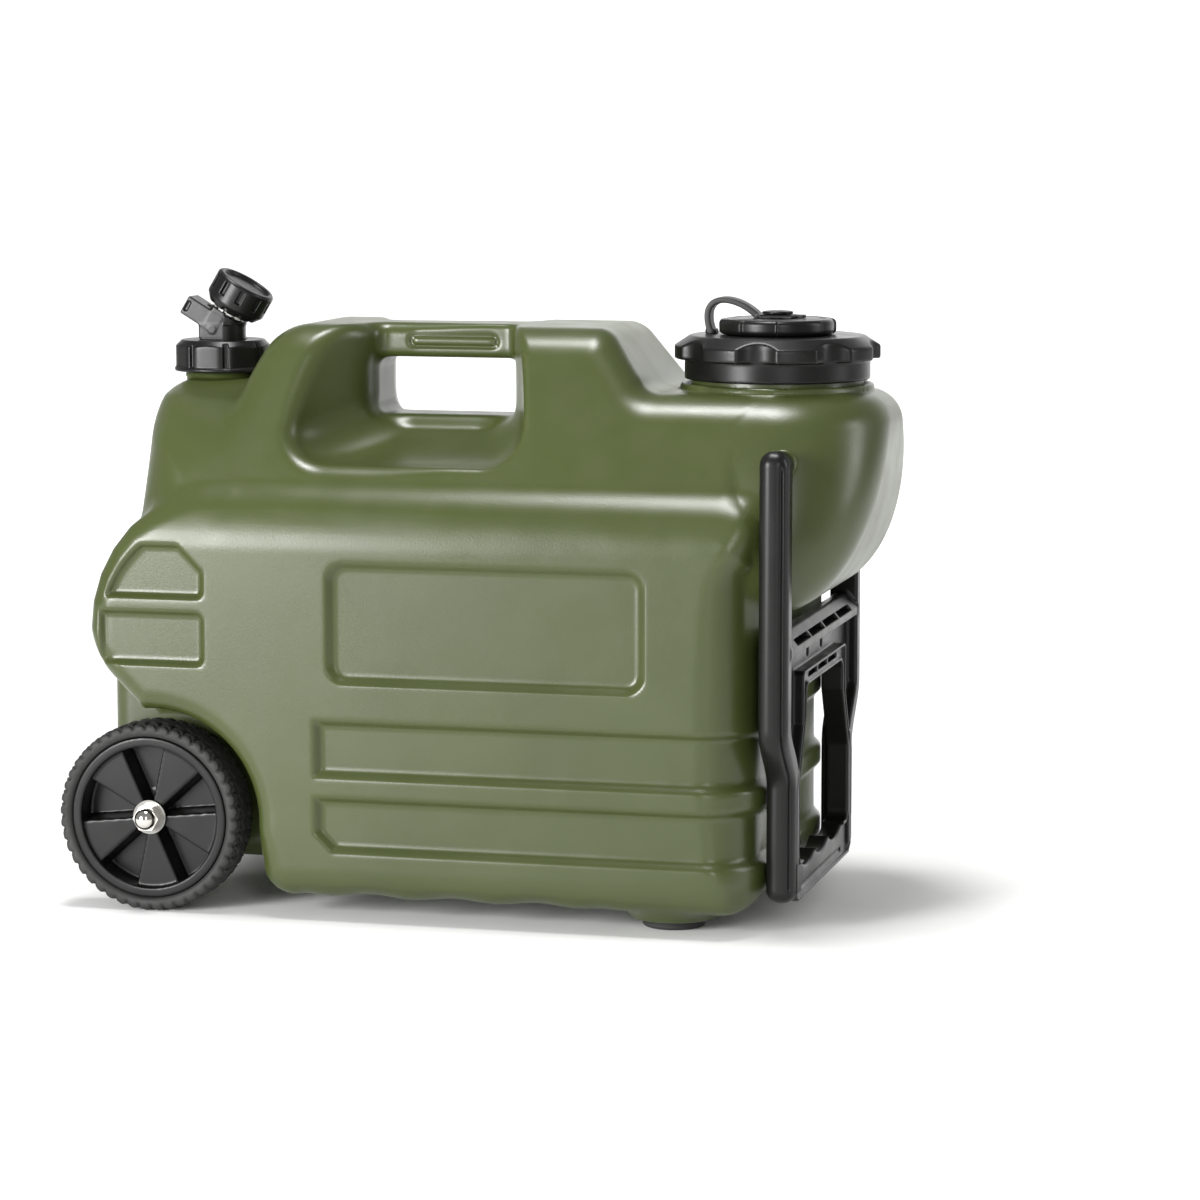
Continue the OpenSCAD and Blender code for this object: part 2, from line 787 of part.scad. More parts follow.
// Distance of an arm's middle from the middle plane, at a height
function arm_mid(z) =
    arm_mid_low + arm_draw_in * ease((z - draw_in_low) / (draw_in_top - draw_in_low));

// Share of an arm's full section at a height, less than 1 near its rounded ends
function arm_share(z) =
    let (d = min(arm_top - z, z - handle_low) + arm_end_flat)
    sqrt(1 - pow(max(0, 1 - 2 * d / arm_w), 2));

// Section of an arm at a height: flat inside, half round outside
function arm_ring(z) =
    let (half = arm_share(z) * arm_w / 2, inner = arm_mid(z) - arm_t / 2)
    concat(
        [[pivot_x - half, inner, z], [pivot_x + half, inner, z]],
        [for (k = [0 : arm_points])
            let (a = 180 * k / arm_points)
            [pivot_x + half * cos(a), inner + arm_flat + half * sin(a), z]]
    );

arm_levels = concat(
    arc_up(handle_low, arm_w / 2, 5),
    spread(draw_in_low, draw_in_top, 8),
    [for (z = arc_down(arm_top, arm_w / 2, 5)) arm_top + arm_top - arm_w / 2 - z]
);

// Flat outlines of the handle are drawn in y and z, and made solid between two places along x
module along(x0, x1) {
    translate([x0, 0, 0]) rotate([90, 0, 90]) linear_extrude(x1 - x0) children();
}

// An outline from the corners of its left half, listed from the top down
module both_halves(side) {
    polygon(concat(side, [for (k = [len(side) - 1 : -1 : 0]) [-side[k][0], side[k][1]]]));
}

window_side = [
    [window_half_w, window_top], [window_half_w, draw_in_top],
    [window_low_half, draw_in_low], [window_low_half, window_low]
];

frame_side = [
    [window_half_w + frame_w, window_top + frame_w], [window_half_w + frame_w, draw_in_top - frame_w / 3],
    [window_low_half + frame_w, draw_in_low - frame_w / 3],
    [window_low_half + frame_w, handle_low + frame_w], [window_low_half, handle_low]
];

web_side = [
    [arm_mid_top, crossbar_z], [arm_mid_top, draw_in_top],
    [arm_mid_low, draw_in_low], [arm_mid_low, window_low]
];

module finger_grooves() {
    for (k = [0 : finger_count - 1])
        translate([(k - (finger_count - 1) / 2) * finger_pitch, window_low + finger_r - finger_depth])
            circle(finger_r);
}

// A lip at the front of the crossbar, and a slope from it up to the top
module crossbar_profile() {
    low = crossbar_z - crossbar_h / 2;
    back = arm_back + crossbar_inset;
    polygon([
        [back, low], [arm_front, low], [arm_front, low + crossbar_lip],
        [arm_front - crossbar_slope, low + crossbar_h], [back, low + crossbar_h]
    ]);
}

module crossbar_slots() {
    pitch = 2 * arm_mid_low / slot_count;
    for (k = [0 : slot_count - 1])
        translate([(k - (slot_count - 1) / 2) * pitch, slot_z])
            square([pitch - slot_bridge, slot_h], center = true);
}

module web_holes() {
    z = (crossbar_z - crossbar_h / 2 + window_top + frame_w) / 2;
    for (y = [-web_hole_y, web_hole_y])
        translate([y, z]) circle(web_hole_r);
}

module pull_handle() {
    color(black) difference() {
        union() {
            both_sides() {
                loft([for (z = arm_levels) arm_ring(z)]);
                rod(pivot_x, pivot_z, stud_r + stud_shoulder, boss_face + free_gap, arm_inner + 1);
                rod(pivot_x, pivot_z, stud_r, boss_face - socket_depth + free_gap, arm_inner + 1);
            }
            across(-arm_mid_top, arm_mid_top) crossbar_profile();
            along(pivot_x - web_t / 2, pivot_x + web_t / 2) both_halves(web_side);
            along(arm_front - frame_t, arm_front) both_halves(frame_side);
        }
        along(arm_back - 1, arm_front + 1) {
            both_halves(window_side);
            finger_grooves();
            web_holes();
        }
        along(arm_front - slot_depth, arm_front + 1) crossbar_slots();
    }
}

// Wide lid: a lobed ring over a skirt, with the filler spout standing on it
lid_plate_z = lid_rim_z + lid_gasket_t;
lobe_low = lid_top - 15;
lobe_slope_w = 10;
lobe_slope_h = 6.5;
lobe_cut_r = 19;
lobe_cut_depth = 6;
lid_roof_t = 4;
lid_seal_w = 2;
spout_wall = 4;
spout_rim = cap_top - 4.5;
cap_skirt_z = lid_top + free_gap;

module lid_profile() {
    polygon([
        [0, lobe_low], [lid_r, lobe_low], [lid_r, lid_top - lobe_slope_h],
        [lid_r - lobe_slope_w, lid_top], [0, lid_top]
    ]);
}

module lid_lobes() {
    difference() {
        rotate_extrude() lid_profile();
        for (k = [0 : lobe_count - 1])
            rotate(360 * k / lobe_count)
                translate([lid_r + lobe_cut_r - lobe_cut_depth, 0, lobe_low - 1])
                    cylinder(r = lobe_cut_r, h = lid_top - lobe_low + 2);
    }
}

module wide_lid() {
    color(black) difference() {
        union() {
            translate([lid_x, 0, 0]) lid_lobes();
            post(lid_x, 0, lid_skirt_r, lid_gap_z, lid_top - lobe_slope_h);
            post(lid_x, 0, spout_r, lid_plate_z, spout_rim);
        }
        post(lid_x, 0, lid_neck_r + free_gap, lid_gap_z - 1, lid_plate_z);
        post(lid_x, 0, spout_r - spout_wall, lid_gap_z, cap_top);
        flat_ring(lid_x, lid_plate_z - 1, lid_bore_r - lid_seal_w, spout_r,
                  lid_top - lid_roof_t - lid_plate_z + 1);
    }
}

module flat_ring(x, z, r, bore, h) {
    translate([x, 0, z]) difference() {
        cylinder(r = r, h = h);
        translate([0, 0, -1]) cylinder(r = bore, h = h + 2);
    }
}

module lid_gasket() {
    color(rubber) flat_ring(lid_x, lid_rim_z, lid_neck_r, lid_bore_r, lid_gasket_t);
}

// Filler cap, its gasket, the button and the strap
cap_edge_r = 4;
cap_plate_t = 3;
cap_lug_count = 4;
cap_lug_depth = 1.6;
button_h = 2.4;
button_stem_r = 4.5;
ring_z = cap_top + free_gap;
button_z = ring_z + strap_t + free_gap;
strap_ring_r = 13.5;
button_stem_in = 2;

module filler_cap() {
    color(black) translate([lid_x, 0, 0]) difference() {
        rotate_extrude() {
            translate([0, cap_skirt_z]) square([cap_r - cap_edge_r, cap_top - cap_skirt_z]);
            translate([0, cap_skirt_z]) square([cap_r, cap_top - cap_skirt_z - cap_edge_r]);
            translate([cap_r - cap_edge_r, cap_top - cap_edge_r]) circle(cap_edge_r);
        }
        for (k = [0 : cap_lug_count - 1])
            rotate(360 * k / cap_lug_count) intersection() {
                difference() {
                    translate([0, 0, cap_skirt_z - 1]) cylinder(r = cap_r + 1, h = cap_top - cap_skirt_z + 2);
                    translate([0, 0, cap_skirt_z - 2])
                        cylinder(r = cap_r - cap_lug_depth, h = cap_top - cap_skirt_z + 4);
                }
                translate([0, 0, cap_skirt_z - 2]) linear_extrude(cap_top - cap_skirt_z + 4)
                    sector(2 * cap_r, 180 / cap_lug_count);
            }
        translate([0, 0, cap_skirt_z - 1])
            cylinder(r = spout_r + free_gap, h = cap_top - cap_plate_t - cap_skirt_z + 1);
        translate([0, 0, cap_top - button_stem_in - free_gap])
            cylinder(r = button_stem_r + run_fit, h = button_stem_in + 1);
    }
}

module filler_cap_gasket() {
    color(rubber) flat_ring(lid_x, spout_rim, spout_r, spout_r - spout_wall,
                            cap_top - cap_plate_t - spout_rim);
}

module strap_button() {
    color(black) translate([lid_x, 0, 0]) {
        translate([0, 0, cap_top - button_stem_in])
            cylinder(r = button_stem_r, h = button_z - cap_top + button_stem_in);
        translate([0, 0, button_z]) rotate_extrude() {
            square([button_r - button_h / 2, button_h]);
            square([button_r, button_h / 2]);
            translate([button_r - button_h / 2, button_h / 2]) circle(button_h / 2);
        }
    }
}

// The strap rises from the button's ring, arches over the edge of the cap and ends in a foot on the lid
strap_foot_x = 43;
strap_foot_l = 6;
strap_foot_h = 3;
strap_arch_h = 16;
strap_steps = 14;

// Corners of the smooth curve that the middle of the free part of the strap follows
strap_start = [1 - strap_ring_r, ring_z + strap_t / 2];
strap_lift = [-28, cap_top + strap_arch_h];
strap_over = [-52, cap_top + strap_arch_h];
strap_end = [-strap_foot_x, lid_top + strap_foot_h / 2];

function curve(a, b, c, d, s) = pow(1 - s, 3) * a + 3 * s * pow(1 - s, 2) * b
    + 3 * s * s * (1 - s) * c + pow(s, 3) * d;

module strap_band() {
    mids = [for (k = [0 : strap_steps])
        curve(strap_start, strap_lift, strap_over, strap_end, k / strap_steps)];
    normals = [for (k = [0 : strap_steps])
        let (d = mids[min(strap_steps, k + 1)] - mids[max(0, k - 1)]) [-d[1], d[0]] / norm(d)];
    across(-strap_w / 2, strap_w / 2) polygon(concat(
        [for (k = [0 : strap_steps]) mids[k] + normals[k] * strap_t / 2],
        [for (k = [strap_steps : -1 : 0]) mids[k] - normals[k] * strap_t / 2]));
}

module cap_strap() {
    color(black) translate([lid_x, 0, 0]) {
        flat_ring(0, ring_z, strap_ring_r, button_stem_r + free_gap, strap_t);
        strap_band();
        translate([-strap_foot_x - strap_foot_l / 2, -strap_w / 2, lid_top])
            cube([strap_foot_l, strap_w, strap_foot_h]);
    }
}

// Tap: a flange clamped by the ring nut, a stub, a flat-sided spout and a leaning valve
flange_r = tap_neck_r - 1;
stub_r = 15;
elbow = [tap_x, nut_top + 8.7];
spout_w = 17;
spout_t = 13;
spout_bore_w = 8;
spout_bore_low = 0.5;
cheek_l = 14.3;
cheek_r = 4.2;
side_boss_r = 3;
side_boss_h = 0.6;
valve_r = 13;
valve_low = -8;
valve_high = 9.5;
chamber_r = 8;
chamber_top = 5;
seat_hole_r = 4.2;
oring_z = 6.5;
oring_t = 1.6;
oring_room = 0.4;
inlet_r = 9;
inlet_below_elbow = 7;
side_slot = [2.5, 1, 7];
side_slot_from_end = 1.2;
top_slot = [9, 5, 0.8];
top_slot_from_end = 12;

// Children are drawn with the knob's axis as z, and the spout along minus x
module at_valve() {
    translate([elbow[0], 0, elbow[1]]) rotate([0, knob_lean, 0]) children();
}

module tap_gasket() {
    color(rubber) flat_ring(tap_x, tap_rim_z, flange_r, tap_bore_r, tap_gasket_t);
}

// Flat side of the tap: an upright cheek and the rising spout
module spout_side() {
    translate([tap_x - cheek_l, nut_top + free_gap])
        square([cheek_l + cheek_r, elbow[1] - nut_top - free_gap]);
    translate(elbow) rotate(-knob_lean) translate([-spout_l, -spout_t / 2]) square([spout_l, spout_t]);
}

module tap_body() {
    color(black) difference() {
        union() {
            post(tap_x, 0, flange_r, flange_z, flange_z + flange_t);
            post(tap_x, 0, stub_r, flange_z, elbow[1]);
            across(-spout_w / 2, spout_w / 2) spout_side();
            rod(elbow[0] - side_boss_r, elbow[1] - side_boss_r / 2, side_boss_r,
                -spout_w / 2 - side_boss_h, spout_w / 2 + side_boss_h);
            at_valve() translate([0, 0, valve_low]) cylinder(r = valve_r, h = valve_high - valve_low);
        }
        post(tap_x, 0, inlet_r, flange_z - 1, elbow[1] - inlet_below_elbow);
        at_valve() {
            translate([-spout_l - 1, -spout_bore_w / 2, spout_bore_low])
                cube([spout_l + 1, spout_bore_w, chamber_top - spout_bore_low]);
            cylinder(r = chamber_r, h = chamber_top);
            translate([0, 0, valve_low]) cylinder(r = seat_hole_r, h = 1 - valve_low);
            cylinder(r = spindle_r + run_fit, h = valve_high + 1);
            translate([0, 0, oring_z]) cylinder(r = spindle_r + oring_t + oring_room, h = valve_high);
            for (s = [-1, 1])
                translate([-spout_l + side_slot_from_end + side_slot[0] / 2, s * spout_w / 2, 0])
                    cube([side_slot[0], 2 * side_slot[1], side_slot[2]], center = true);
            translate([-spout_l + top_slot_from_end + top_slot[0] / 2, 0, spout_t / 2])
                cube([top_slot[0], top_slot[1], 2 * top_slot[2]], center = true);
        }
    }
}

nut_groove_w = 3;
nut_groove_d = 2;
nut_lugs = 8;
nut_edge = 4;
nut_brim_w = 0.8;
nut_brim_h = 2.8;
nut_hole_gap = 1;

module tap_ring_nut() {
    color(black) translate([tap_x, 0, tap_nut_z]) difference() {
        rotate_extrude() polygon([
            [0, 0], [nut_r + nut_brim_w, 0], [nut_r + nut_brim_w, nut_brim_h - nut_brim_w], [nut_r, nut_brim_h],
            [nut_r, nut_h - nut_edge], [nut_r - nut_edge, nut_h], [0, nut_h]
        ]);
        for (k = [0 : nut_lugs - 1])
            rotate(360 * (k + 0.5) / nut_lugs) translate([nut_r - nut_groove_d, -nut_groove_w / 2, nut_brim_h])
                cube([2 * nut_groove_d, nut_groove_w, nut_h]);
        translate([0, 0, -1]) cylinder(r = tap_neck_r + free_gap, h = nut_h - nut_lip_t + 1);
        cylinder(r = stub_r + nut_hole_gap, h = nut_h + 1);
    }
}

knob_gap = 2.8;
knob_z = valve_high + knob_gap;
knob_foot_h = 5;
knob_foot_r = knob_r - 3.8;
knob_edge = 1.5;
knob_dish_r = knob_r - 5;
knob_dish_d = 2;
knob_slot_w = 3;
knob_slot_h = 9;
knob_slot_d = 1.5;
knob_slot_below_edge = 0.8;
spindle_in = 8;
spindle_low = 2;
collar_r = 13;
collar_t = 1.8;
collar_teeth = 12;
tooth_gap_w = 3;
valve_washer_over = 2;

// White spindle with a toothed collar under the knob
module tap_spindle() {
    color("whitesmoke") at_valve() {
        translate([0, 0, spindle_low]) cylinder(r = spindle_r, h = knob_z + spindle_in - spindle_low);
        translate([0, 0, knob_z - collar_t]) difference() {
            cylinder(r = collar_r, h = collar_t);
            for (k = [0 : collar_teeth - 1])
                rotate(360 * k / collar_teeth) translate([collar_r - tooth_gap_w, -tooth_gap_w / 2, -1])
                    cube([2 * tooth_gap_w, tooth_gap_w, collar_t + 2]);
        }
    }
}

module spindle_oring() {
    color(rubber) at_valve() translate([0, 0, oring_z + oring_room])
        rotate_extrude() translate([spindle_r + oring_t / 2, oring_t / 2]) circle(oring_t / 2);
}

module valve_washer() {
    color(rubber) at_valve() cylinder(r = spindle_r + valve_washer_over, h = spindle_low);
}

module tap_knob() {
    color(black) at_valve() translate([0, 0, knob_z]) difference() {
        rotate_extrude() polygon([
            [0, 0], [knob_foot_r, 0], [knob_r, knob_foot_h], [knob_r, knob_h - knob_edge],
            [knob_r - knob_edge, knob_h], [knob_dish_r + 1, knob_h], [knob_dish_r, knob_h - knob_dish_d],
            [0, knob_h - knob_dish_d]
        ]);
        for (k = [0 : knob_slots - 1])
            rotate(360 * k / knob_slots)
                translate([knob_r - knob_slot_d, -knob_slot_w / 2,
                           knob_h - knob_slot_h - knob_edge - knob_slot_below_edge])
                    cube([2 * knob_slot_d, knob_slot_w, knob_slot_h]);
        translate([0, 0, -1]) cylinder(r = spindle_r, h = spindle_in + 1);
    }
}

tank();
foot_left();
foot_right();
axle();
axle_washers();
dome_nuts();
wheel_rim_left();
wheel_rim_right();
wheel_tyre_left();
wheel_tyre_right();
pull_handle();
lid_gasket();
wide_lid();
filler_cap();
filler_cap_gasket();
strap_button();
cap_strap();
tap_gasket();
tap_body();
tap_ring_nut();
tap_spindle();
spindle_oring();
valve_washer();
tap_knob();
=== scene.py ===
"""Rolling water carrier: moulded surfaces, materials, floor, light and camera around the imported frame."""
import math

import bpy
import numpy as np
import openvdb
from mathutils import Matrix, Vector


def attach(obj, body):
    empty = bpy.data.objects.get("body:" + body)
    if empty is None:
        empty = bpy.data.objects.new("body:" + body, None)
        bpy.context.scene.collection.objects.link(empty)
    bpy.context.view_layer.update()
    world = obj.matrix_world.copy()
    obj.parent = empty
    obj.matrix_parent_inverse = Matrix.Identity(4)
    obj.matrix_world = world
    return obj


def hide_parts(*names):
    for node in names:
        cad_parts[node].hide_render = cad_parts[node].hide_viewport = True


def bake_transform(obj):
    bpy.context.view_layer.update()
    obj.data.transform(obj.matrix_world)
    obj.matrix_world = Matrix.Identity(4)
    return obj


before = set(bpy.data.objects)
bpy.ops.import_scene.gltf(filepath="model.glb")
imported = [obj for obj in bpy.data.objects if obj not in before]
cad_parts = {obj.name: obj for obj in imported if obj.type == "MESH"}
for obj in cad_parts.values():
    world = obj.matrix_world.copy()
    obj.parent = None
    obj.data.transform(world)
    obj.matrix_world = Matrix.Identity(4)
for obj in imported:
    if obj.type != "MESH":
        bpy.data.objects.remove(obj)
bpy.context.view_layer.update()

MM = 0.001

# Camera, at the photograph's viewing angle
CAMERA_PLACE = Vector((0.7094, -2.4990, 0.526))
CAMERA_AZIMUTH = math.radians(14.4)
CAMERA_PITCH = math.radians(7.3)
LENS = 120
SENSOR = 36


def make_camera():
    data = bpy.data.cameras.new("camera")
    data.lens = LENS
    data.sensor_width = SENSOR
    camera = bpy.data.objects.new("camera", data)
    bpy.context.scene.collection.objects.link(camera)
    flat = math.cos(CAMERA_PITCH)
    look = Vector((
        -math.sin(CAMERA_AZIMUTH) * flat,
        math.cos(CAMERA_AZIMUTH) * flat,
        -math.sin(CAMERA_PITCH),
    ))
    camera.location = CAMERA_PLACE
    camera.rotation_euler = look.to_track_quat("-Z", "Y").to_euler()
    bpy.context.scene.camera = camera


make_camera()


# Signed distances in millimetres, negative inside

def ease(t):
    """Smooth step from 0 to 1."""
    t = np.clip(t, 0, 1)
    return t * t * (3 - 2 * t)


def mix(a, b, share):
    """A value between two others."""
    return a + (b - a) * share


def common(a, b, r):
    """Inside both forms, with their shared edge rounded to a radius."""
    a = a + r
    b = b + r
    return np.minimum(np.maximum(a, b), 0) + np.hypot(np.maximum(a, 0), np.maximum(b, 0)) - r


def joined(a, b, r):
    """Inside either form, with a fillet of a radius where they meet."""
    return -common(-a, -b, r)


def cut(a, b, r):
    """The first form without the second, with the new edge rounded to a radius."""
    return common(a, -b, r)


def box(u, v, half_u, half_v, r):
    """Flat rectangle with rounded corners, about the origin."""
    a = np.abs(u) - half_u + r
    b = np.abs(v) - half_v + r
    return np.minimum(np.maximum(a, b), 0) + np.hypot(np.maximum(a, 0), np.maximum(b, 0)) - r


def slab(u, low, high):
    """Between two levels."""
    return np.abs(u - (low + high) / 2) - (high - low) / 2


def rounded(corners, steps=8):
    """Points of a closed outline from its corners, each (u, v, radius)."""
    points = []
    count = len(corners)
    for i, (u, v, r) in enumerate(corners):
        here = np.array((u, v), float)
        back = np.array(corners[i - 1][:2], float) - here
        ahead = np.array(corners[(i + 1) % count][:2], float) - here
        back /= np.linalg.norm(back)
        ahead /= np.linalg.norm(ahead)
        half = math.acos(max(-1, min(1, back @ ahead))) / 2
        if r == 0 or half > math.radians(89):
            points.append(here)
            continue
        reach = r / math.tan(half)
        middle = here + (back + ahead) / np.linalg.norm(back + ahead) * r / math.sin(half)
        start = here + back * reach - middle
        end = here + ahead * reach - middle
        turn = math.pi - 2 * half
        for k in range(steps + 1):
            a = math.sin(turn * (1 - k / steps)) / math.sin(turn)
            b = math.sin(turn * k / steps) / math.sin(turn)
            points.append(middle + a * start + b * end)
    return np.array(points)


def outline(points, u, v):
    """Distance from a closed outline in the plane of u and v."""
    u, v = np.broadcast_arrays(u, v)
    near = np.full(u.shape, 1e12, np.float32)
    inside = np.zeros(u.shape, bool)
    for a, b in zip(points, np.roll(points, -1, axis=0)):
        along = b - a
        du = u - a[0]
        dv = v - a[1]
        t = np.clip((du * along[0] + dv * along[1]) / max(along @ along, 1e-12), 0, 1)
        near = np.minimum(near, (du - t * along[0]) ** 2 + (dv - t * along[1]) ** 2)
        crosses = (v >= a[1]) != (v >= b[1])
        if a[1] != b[1]:
            inside ^= crosses & (du < along[0] * dv / (b[1] - a[1]))
    return np.where(inside, -1, 1).astype(np.float32) * np.sqrt(near)


# Meshes from distances, which are kept in a band of a few voxels about the surface
BAND = 3.0


def interpolated(values, q):
    """Values of a grid at fractional places."""
    low = np.clip(np.floor(q).astype(int), 0, np.array(values.shape) - 2)
    f = q - low
    total = np.zeros(len(q))
    for dx in (0, 1):
        for dy in (0, 1):
            for dz in (0, 1):
                share = np.abs(1 - dx - f[:, 0]) * np.abs(1 - dy - f[:, 1]) * np.abs(1 - dz - f[:, 2])
                total += share * values[low[:, 0] + dx, low[:, 1] + dy, low[:, 2] + dz]
    return total


def settled(values, q, rounds=3):
    """Moves points of a mesh onto the surface where the grid's value is zero."""
    for _ in range(rounds):
        slope = np.stack([
            interpolated(values, q + step) - interpolated(values, q - step)
            for step in 0.5 * np.eye(3)
        ], axis=1)
        steep = np.maximum((slope ** 2).sum(1), 1e-6)
        move = -(interpolated(values, q) / steep)[:, None] * slope
        length = np.linalg.norm(move, axis=1, keepdims=True)
        q = q + move * np.minimum(1, 0.5 / np.maximum(length, 1e-9))
    return q


def mesh_object(name, points, faces, material):
    mesh = bpy.data.meshes.new(name)
    mesh.from_pydata(points.tolist(), [], faces.tolist())
    mesh.validate()
    mesh.shade_smooth()
    mesh.materials.append(material)
    thing = bpy.data.objects.new(name, mesh)
    bpy.context.scene.collection.objects.link(thing)
    return thing


def moulded(name, low, high, voxel, field, material, even=True):
    """A piece from its distance field, sampled in a box.

    An even one is worked out on one side of the middle plane and mirrored in y.
    """
    margin = BAND * voxel
    low = np.array(low, float) - margin
    high = np.array(high, float) + margin
    steps = np.ceil((high - low) / voxel).astype(int)
    if even:
        steps[1] = 2 * math.ceil(high[1] / voxel)
        low[1] = -voxel * steps[1] / 2
    x, y, z = (
        np.float32(low[i]) + np.float32(voxel) * np.arange(steps[i] + 1, dtype=np.float32)
        for i in range(3)
    )
    if even:
        y = y[steps[1] // 2:]
    values = field(x[:, None, None], y[None, :, None], z[None, None, :])
    values = np.broadcast_to(values, (len(x), len(y), len(z))) / voxel
    values = np.clip(values, -BAND, BAND).astype(np.float32)
    if even:
        values = np.concatenate([values[:, :0:-1], values], axis=1)
    grid = openvdb.FloatGrid(BAND)
    grid.copyFromArray(np.ascontiguousarray(values))
    points, quads = grid.convertToQuads()
    points = settled(values, points.astype(float))
    return mesh_object(name, (low + points * voxel) * MM, quads, material)


def piece(thing, body, node):
    """Puts a piece on its body, in the place of a node, and hides the node."""
    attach(thing, body)
    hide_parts(node)


# Materials
SHADE_SCALE = 14
GLOSS_SCALE = 45
GRAIN_STRENGTH = 0.5
NOISE_LOW = 0.3
NOISE_HIGH = 0.7


def shader(name, colour, roughness, **sockets):
    """A material, its node tree and its principled shader."""
    material = bpy.data.materials.new(name)
    material.use_nodes = True
    tree = material.node_tree
    base = tree.nodes["Principled BSDF"]
    base.inputs["Base Color"].default_value = (*colour, 1)
    base.inputs["Roughness"].default_value = roughness
    for socket, value in sockets.items():
        base.inputs[socket.replace("_", " ")].default_value = value
    return material, tree, base


def noise(tree, scale, detail, vector):
    """Output of a noise texture."""
    node = tree.nodes.new("ShaderNodeTexNoise")
    node.inputs["Scale"].default_value = scale
    node.inputs["Detail"].default_value = detail
    tree.links.new(vector, node.inputs["Vector"])
    return node.outputs["Fac"]


def ranged(tree, value, low, high):
    """A noise output spread over a range."""
    node = tree.nodes.new("ShaderNodeMapRange")
    node.inputs["From Min"].default_value = NOISE_LOW
    node.inputs["From Max"].default_value = NOISE_HIGH
    node.inputs["To Min"].default_value = low
    node.inputs["To Max"].default_value = high
    tree.links.new(value, node.inputs["Value"])
    return node.outputs["Result"]


def plastic(name, dark, light, rough_low, rough_high, grain_scale, grain_depth, **sockets):
    """Moulded plastic or rubber: slow changes of shade and gloss, and a fine grain in relief."""
    material, tree, base = shader(name, light, rough_low, **sockets)
    place = tree.nodes.new("ShaderNodeTexCoord").outputs["Object"]
    shade = tree.nodes.new("ShaderNodeMix")
    shade.data_type = "RGBA"
    shade.inputs["A"].default_value = (*dark, 1)
    shade.inputs["B"].default_value = (*light, 1)
    slow = noise(tree, SHADE_SCALE, 4, place)
    tree.links.new(ranged(tree, slow, 0, 1), shade.inputs["Factor"])
    tree.links.new(shade.outputs["Result"], base.inputs["Base Color"])
    gloss = noise(tree, GLOSS_SCALE, 3, place)
    tree.links.new(ranged(tree, gloss, rough_low, rough_high), base.inputs["Roughness"])
    bump = tree.nodes.new("ShaderNodeBump")
    bump.inputs["Strength"].default_value = GRAIN_STRENGTH
    bump.inputs["Distance"].default_value = grain_depth * MM
    tree.links.new(noise(tree, grain_scale, 2, place), bump.inputs["Height"])
    tree.links.new(bump.outputs["Normal"], base.inputs["Normal"])
    return material


GREEN = plastic("green_hdpe", (0.043, 0.056, 0.0140), (0.049, 0.063, 0.0160), 0.28, 0.34, 900, 0.10,
                Specular_IOR_Level=0.55)
BLACK = plastic("black_plastic", (0.004, 0.004, 0.0038), (0.006, 0.006, 0.0057), 0.28, 0.37, 1400, 0.05,
                Specular_IOR_Level=0.3)
STRAP = plastic("strap_plastic", (0.014, 0.014, 0.014), (0.022, 0.022, 0.021), 0.42, 0.52, 1600, 0.05)
WHITE = plastic("white_plastic", (0.34, 0.34, 0.32), (0.42, 0.42, 0.40), 0.32, 0.42, 1500, 0.04)
TYRE = plastic("tyre_rubber", (0.013, 0.013, 0.0125), (0.024, 0.024, 0.023), 0.58, 0.72, 1100, 0.10)
FOOT = plastic("foot_rubber", (0.016, 0.016, 0.016), (0.028, 0.028, 0.027), 0.62, 0.76, 1000, 0.10)
SEAL = plastic("seal_rubber", (0.020, 0.020, 0.020), (0.034, 0.034, 0.033), 0.55, 0.68, 1200, 0.05)
STEEL = plastic("axle_steel", (0.20, 0.195, 0.185), (0.28, 0.275, 0.26), 0.26, 0.40, 700, 0.02,
                Metallic=1.0)
CHROME = plastic("nut_chrome", (0.66, 0.64, 0.60), (0.80, 0.78, 0.74), 0.08, 0.18, 500, 0.01,
                 Metallic=1.0)


# Tank: a wide lower block and a narrower upper part with the grip and the bulge under the lid
TANK_LEFT = -241.0
TANK_RIGHT = 197.75
BASE_Z = 13.0
BLOCK_TOP = 276.0
SHOULDER_FOOT = 258.0
BLOCK_CURVE = 95.0
BODY_HALF = 125.0
UPPER_HALF = 100.0
UPPER_LEFT = -225.0
DRAFT_START = 287.0
DRAFT = 0.46
TAP_DECK = 337.0
LID_DECK = 335.5
GRIP_TOP = 375.0
BULGE_END = 261.75
BULGE_MID = 312.0
BULGE_LOW = 200.0
TAP_X = -189.25
LID_X = 184.75
AXLE = (-200.75, 61.0)
WELL = (-198.0, 61.0)
WELL_R = 70.0
WELL_GAP_HALF = 80.0
BAR_HALF = 19.0
BAR_LOW = 352.6
HOLE_X = -29.0
HOLE_HALF = 47.0
SCOOP_CREST = 316.0
SCOOP_LIP = 289.0
SCOOP_REACH = 72.0
LID_NECK_R = 55.0
LID_MOUTH_R = 49.5
TAP_NECK_R = 23.7
TAP_MOUTH_R = 19.0
NECK_LOW = 300.0
FOOT_PLACE = (136.0, 77.0)
FOOT_SEAT_R = 27.0
FOOT_STEM_R = 6.0
PIVOT = (208.0, 296.0)
SLANT = 0.707


def edge_radius(*sides):
    """Radius of a rounded edge, from the sides, each (distance, radius), weighed by how near they are."""
    softness = 6
    total = 0
    weights = 0
    for distance, radius in sides:
        weight = 1 / (np.maximum(distance, 0) + softness) ** 2
        total = total + weight * radius
        weights = weights + weight
    return total / weights


